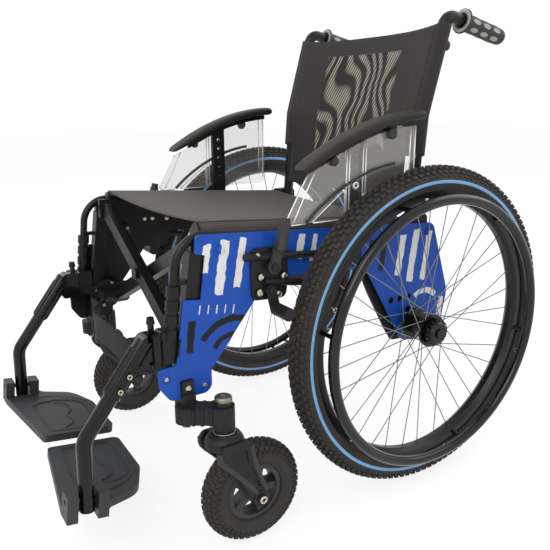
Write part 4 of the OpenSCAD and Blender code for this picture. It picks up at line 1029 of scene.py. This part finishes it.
# Bolt heads: face x, y, z, radius
FRAME_BOLTS = [(PANEL_FACE, y, z, 5.3) for y, z in ((-506, 306), (-441, 281), (80, 334))]
FRAME_BOLTS += [(BRAKE_FACE, y, z, 6.4) for y, z in ((-342, 482), (-304, 477))]
FRAME_BOLTS += [(BRAKE_FACE, y, z, 6.2) for y, z in ((-336, 447), (-292, 443), (-339, 421), (-303, 413))]
FRAME_BOLTS += [(250, -472, 284, 5.4)]
PAINTED_BOLTS = [(42, 478), (-70, 486), (-405, 500)]
INNER_BOLTS = [(-340, 471), (-322, 470), (-288, 467)]
# Radius of the circle of handrim screws, and how far they stand out from the wheel's middle
TAB_R, TAB_OUT = 253, 30


class WHEELCHAIR_OT_bolts(bpy.types.Operator):
    """Bolt heads on the panels, brakes and handrims"""
    bl_idname = "wheelchair.bolts"
    bl_label = "Bolts"

    def execute(self, context):
        tree = bolt_tree()

        def heads(places, radius, way, key):
            values = {"Radius": radius * MM, "Facing": (0, math.pi / 2 * way, 0), "Material": FINISHES[key]}
            return tree.mesh(values, raw_mesh([at(*place) for place in places]))

        angles = [math.radians(60 * i + 20) for i in range(6)]
        for side, k in SIDES.items():
            parts = [(heads([(x * k, y, z)], r, k, "bolt"), 0) for x, y, z, r in FRAME_BOLTS]
            parts.append((heads([(INNER_FACE * k, *place) for place in INNER_BOLTS], 5, -k, "bolt"), 0))
            parts.append((heads([(PANEL_FACE * k, *place) for place in PAINTED_BOLTS], 7.6, k, "panel"), 1))
            keep_piece(f"{side}_frame_bolts", joined(parts), f"{side}_frame", "fittings", "bolt", "panel")
            x = (AXLE.x / MM + TAB_OUT) * k
            tabs = [(x, TAB_R * math.cos(a), AXLE_Z - TAB_R * math.sin(a)) for a in angles]
            screws = heads(tabs, 4.6, k, "bolt")
            keep_piece(f"{side}_handrim_screws", screws, f"{side}_rear_wheel", "fittings")
        return {"FINISHED"}


INNER_PLATE = smooth_line([(-112, 434), (-100, 392), (-66, 330), (-36, 280), (-16, 267), (70, 270), (88, 284),
                           (99, 350), (80, 400), (44, 430), (-112, 434)])[:-1]
# Ribs of a caster fork, and the hollow of its leg where a dark plate is painted shade, back from the stem and
# up from the floor
FORK_RIBS = [smooth_line([(-27, 194), (-24, 178), (-4, 156), (20, 128), (39, 103)]),
             smooth_line([(30, 194), (34, 170), (44, 136), (56, 105)])]
FORK_HOLLOW_SHADE = smooth_line([(-13, 190), (17, 190), (23, 164), (49, 117), (43, 117), (10, 160),
                           (-13, 190)])[:-1]
# Raised lines on a footplate, across from the leg and back from the toe, and a ridge's section: up, across
FOOT_LINES = [[(-204, 14), (-205, 60), (-204, 104), (-180, 108), (-120, 107), (-84, 100), (-66, 78),
               (-62, 50), (-70, 16), (-100, 9), (-160, 9), (-204, 14)],
              [(-196, 40), (-170, 62), (-140, 58), (-116, 72), (-88, 70), (-72, 50)],
              [(-56, 8), (-40, 30), (-42, 62), (-62, 92), (-90, 112), (-140, 118), (-208, 119)]]
RIDGE = [(-0.0012, -0.0018), (0.0012, -0.0009), (0.0012, 0.0009), (-0.0012, 0.0018)]
# Outlines to turn: radius, height
CAP = [(0.2, 274.6), (9, 274.4), (12.6, 273.6), (14.4, 271.6), (14.4, 264.5), (14.05, 264.5), (14.05, 272.05),
       (0.2, 272.1)]
COVER = [(0.2, 0), (21, 0), (21, 4), (19, 6), (8, 6.6), (0.2, 6.6)]
SEAL = [(15.2, 212.4), (18.4, 211.8), (18.8, 213), (18, 213.8), (15.2, 214.2)]
NUT = [(0.2, 0), (7, 0), (7, 2), (5.8, 3), (0.2, 3)]
KNOB = [(0.2, 0), (5, 0), (5, 4), (8.6, 5), (9.6, 7), (9.6, 11), (8.2, 13.4), (0.2, 14)]
SPACER = [(0.2, 0), (6, 0), (6, 10.2), (0.2, 10.2)]
# Finishes of the fittings, in the order of their material indices
FITTING = ("bolt", "grip", "cap", "casting", "frame")


class WHEELCHAIR_OT_fittings(bpy.types.Operator):
    """Caps, screws, nuts, fork ribs, footplate ridges, knobs of the back posts and the inner plates; dark
    discs and plates as painted shade in sockets, holes and hollows
    """
    bl_idname = "wheelchair.fittings"
    bl_label = "Fittings"

    def execute(self, context):
        tilt = Matrix.Rotation(math.radians(-7), 4, "X")
        for side, k in SIDES.items():
            stem = Matrix.Translation(at(CASTER_X * k, STEM_Y, 0))
            parts = [(turned(CAP, stem), 2), (turned(SEAL, stem), 2)]
            parts += socket_screw((CASTER_X + 41) * k, *FORK_AXLE, (k, 0, 0))
            parts.append((turned(NUT, facing((CASTER_X - 41) * k, *FORK_AXLE, (-k, 0, 0))), 1))
            for way in (-1, 1):
                shaded_hole, inner, middle, outer = [(CASTER_X + way * out) * k for out in (33.4, 33.6, 34, 34.3)]
                parts += [(tube([at(middle, y + STEM_Y, z) for y, z in rib], 0.005), 1) for rib in FORK_RIBS]
                # A dark disc in the fork's hole and a thin dark plate in its leg's hollow are painted shade
                parts.append((turned(SHADE_PLUG, facing(shaded_hole, -389, 119, (way * k, 0, 0)), 1.5), 4))
                parts.append((slab([(y + STEM_Y, z) for y, z in FORK_HOLLOW_SHADE], inner, outer), 4))
            keep_piece(f"{side}_caster_caps", joined(parts), f"{side}_caster_fork", "bright_steel", *FITTING)
            parts = [part for t in (0.36, 0.5)
                     for part in socket_screw(245 * k, mix(-523, -637, t), mix(378, 228, t), (k, 0, 0), 0.62)]
            keep_piece(f"{side}_hanger_screws", joined(parts), f"{side}_hanger", "fittings", *FITTING)
            hinge = Matrix.Translation(at(0, FOOT_Y, FOOT_Z[side])) @ tilt
            lines = [[Vector(((FOOT_X + x) * k, y, -17)) * MM for x, y in smooth_line(line)]
                     for line in FOOT_LINES]
            parts = [(moved(swept(line, UP, RIDGE, False), hinge), 0) for line in lines]
            keep_piece(f"{side}_footplate_ridges", joined(parts), f"{side}_footplate", "foot_plastic", "foot")
            parts = socket_screw(250 * k, -478, 222, (0, 0, -1))
            parts.append((turned(KNOB, facing(BACK_X * k, back_y(816) + 8, 816, (0.2 * k, 1, 0))), 1))
            parts.append((turned(COVER, facing(241 * k, -396, 450, (-k, 0, 0)), count=40), 3))
            for a in [math.radians(90 * i + 20) for i in range(4)]:
                for x, y, z, r, b in ((235, -396, 450, 14, a), (204.6, -447, 323, 25.5, a + math.pi / 4)):
                    parts += socket_screw(x * k, y + r * math.cos(b), z + r * math.sin(b), (-k, 0, 0), 0.5)
            parts.append((slab(INNER_PLATE, 226 * k, 231.2 * k), 3))
            parts += [(turned(SPACER, facing(231 * k, y, z, (k, 0, 0))), 3)
                      for y, z in ((24, 420), (80, 334), (-80, 420))]
            keep_piece(f"{side}_frame_fittings", joined(parts), f"{side}_frame", "fittings", *FITTING)
        return {"FINISHED"}


def direct_rays(add):
    """Share of a shader that the camera sees itself, in a reflection or through a clear piece."""
    camera, glossy, through = [add("ShaderNodeLightPath", out=f"Is {kind} Ray") for kind in
                               ("Camera", "Glossy", "Transmission")]
    return add(MATH, [add(MATH, [camera, glossy], **LARGER), through], **LARGER)


class WHEELCHAIR_OT_stage(bpy.types.Operator):
    """Pale floor, soft lights and the camera"""
    bl_idname = "wheelchair.stage"
    bl_label = "Stage"

    def execute(self, context):
        scene, stage = context.scene, context.scene.chair_stage
        corners = [(-14, -14, 0), (14, -14, 0), (14, 14, 0), (-14, 14, 0)]
        mesh = raw_mesh(corners, [(0, 1, 2, 3)], smooth=False)
        floor = bpy.data.objects.new("studio_floor", mesh)
        scene.collection.objects.link(floor)
        # Matt seamless paper, seen as white by the camera while it keeps most of the shadow
        paper = bpy.data.materials.new("matt studio paper")
        add = emptied(paper)
        white = add("ShaderNodeEmission", {"Strength": stage.white})
        matt = add("ShaderNodeBsdfPrincipled", {"Base Color": (0.93, 0.93, 0.93, 1.0), "Roughness": 0.9})
        seen = add(MATH, [direct_rays(add), 0.72], **TIMES)
        add("ShaderNodeOutputMaterial", [add("ShaderNodeMixShader", [seen, matt, white])])
        mesh.materials.append(paper)

        scene.world = bpy.data.worlds.new("studio")
        add = emptied(scene.world)
        light = add("ShaderNodeBackground", {"Color": (0.98, 0.99, 1.0, 1.0), "Strength": stage.sky})
        shown = add("ShaderNodeBackground", {"Color": (1.0, 1.0, 1.0, 1.0), "Strength": 1.0})
        add("ShaderNodeOutputWorld", [add("ShaderNodeMixShader", [direct_rays(add), light, shown])])

        lamps = (("key", (2.2, -2.4, 3.0), stage.key, 2.6), ("fill", (-2.6, -1.6, 2.2), stage.fill, 2.6),
                 ("back", (0.8, 2.8, 2.6), stage.fill, 2.4))
        for name, place, power, size in lamps:
            lamp = bpy.data.lights.new(name, "AREA")
            lamp.energy, lamp.size = power, size
            holder = bpy.data.objects.new(name, lamp)
            holder.location = place
            aim = Vector((0, 0, 0.45)) - Vector(place)
            holder.rotation_euler = aim.to_track_quat("-Z", "Y").to_euler()
            scene.collection.objects.link(holder)

        camera = bpy.data.cameras.new("camera")
        camera.lens, camera.sensor_width = stage.lens, 36
        camera.shift_x, camera.shift_y = 0.001, 0.0236
        eye = bpy.data.objects.new("camera", camera)
        a, e, roll = math.radians(57.8), math.radians(16.2), math.radians(-0.4)
        right = Vector((math.cos(a), math.sin(a), 0))
        behind = Vector((math.sin(a) * math.cos(e), -math.cos(a) * math.cos(e), math.sin(e)))
        view = Matrix((right, behind.cross(right), behind)).transposed() @ Matrix.Rotation(roll, 3, "Z")
        eye.matrix_world = Matrix.Translation(at(1123.6, -859.7, 723.7)) @ view.to_4x4()
        scene.collection.objects.link(eye)
        scene.camera = eye
        scene.view_settings.view_transform = "Standard"
        return {"FINISHED"}


PIECES = [WHEELCHAIR_OT_finishes, WHEELCHAIR_OT_stage, WHEELCHAIR_OT_rear_tyres, WHEELCHAIR_OT_casters,
          WHEELCHAIR_OT_grips, WHEELCHAIR_OT_arm_pads, WHEELCHAIR_OT_seat, WHEELCHAIR_OT_back,
          WHEELCHAIR_OT_calf_strap, WHEELCHAIR_OT_guard_rims, WHEELCHAIR_OT_bolts, WHEELCHAIR_OT_fittings]


class WHEELCHAIR_PT_panel(bpy.types.Panel):
    """Lists the chair's pieces in the sidebar"""
    bl_label = "Wheelchair"
    bl_idname = "WHEELCHAIR_PT_panel"
    bl_space_type = "VIEW_3D"
    bl_region_type = "UI"
    bl_category = "Wheelchair"

    def draw(self, context):
        for piece in PIECES:
            self.layout.operator(piece.bl_idname)


SETTINGS = {"chair_colours": ChairColours, "chair_tyres": TyreSizes, "chair_cloth": ClothSizes,
            "chair_stage": StageSettings}
CLASSES = [*SETTINGS.values(), *PIECES, WHEELCHAIR_PT_panel]


def register():
    for made in CLASSES:
        bpy.utils.register_class(made)
    for name, group in SETTINGS.items():
        setattr(bpy.types.Scene, name, PointerProperty(type=group))


def unregister():
    for name in SETTINGS:
        delattr(bpy.types.Scene, name)
    for made in reversed(CLASSES):
        bpy.utils.unregister_class(made)


def main():
    register()
    for piece in PIECES:
        group, call = piece.bl_idname.split(".")
        getattr(getattr(bpy.ops, group), call)()


if __name__ == "__main__":
    main()
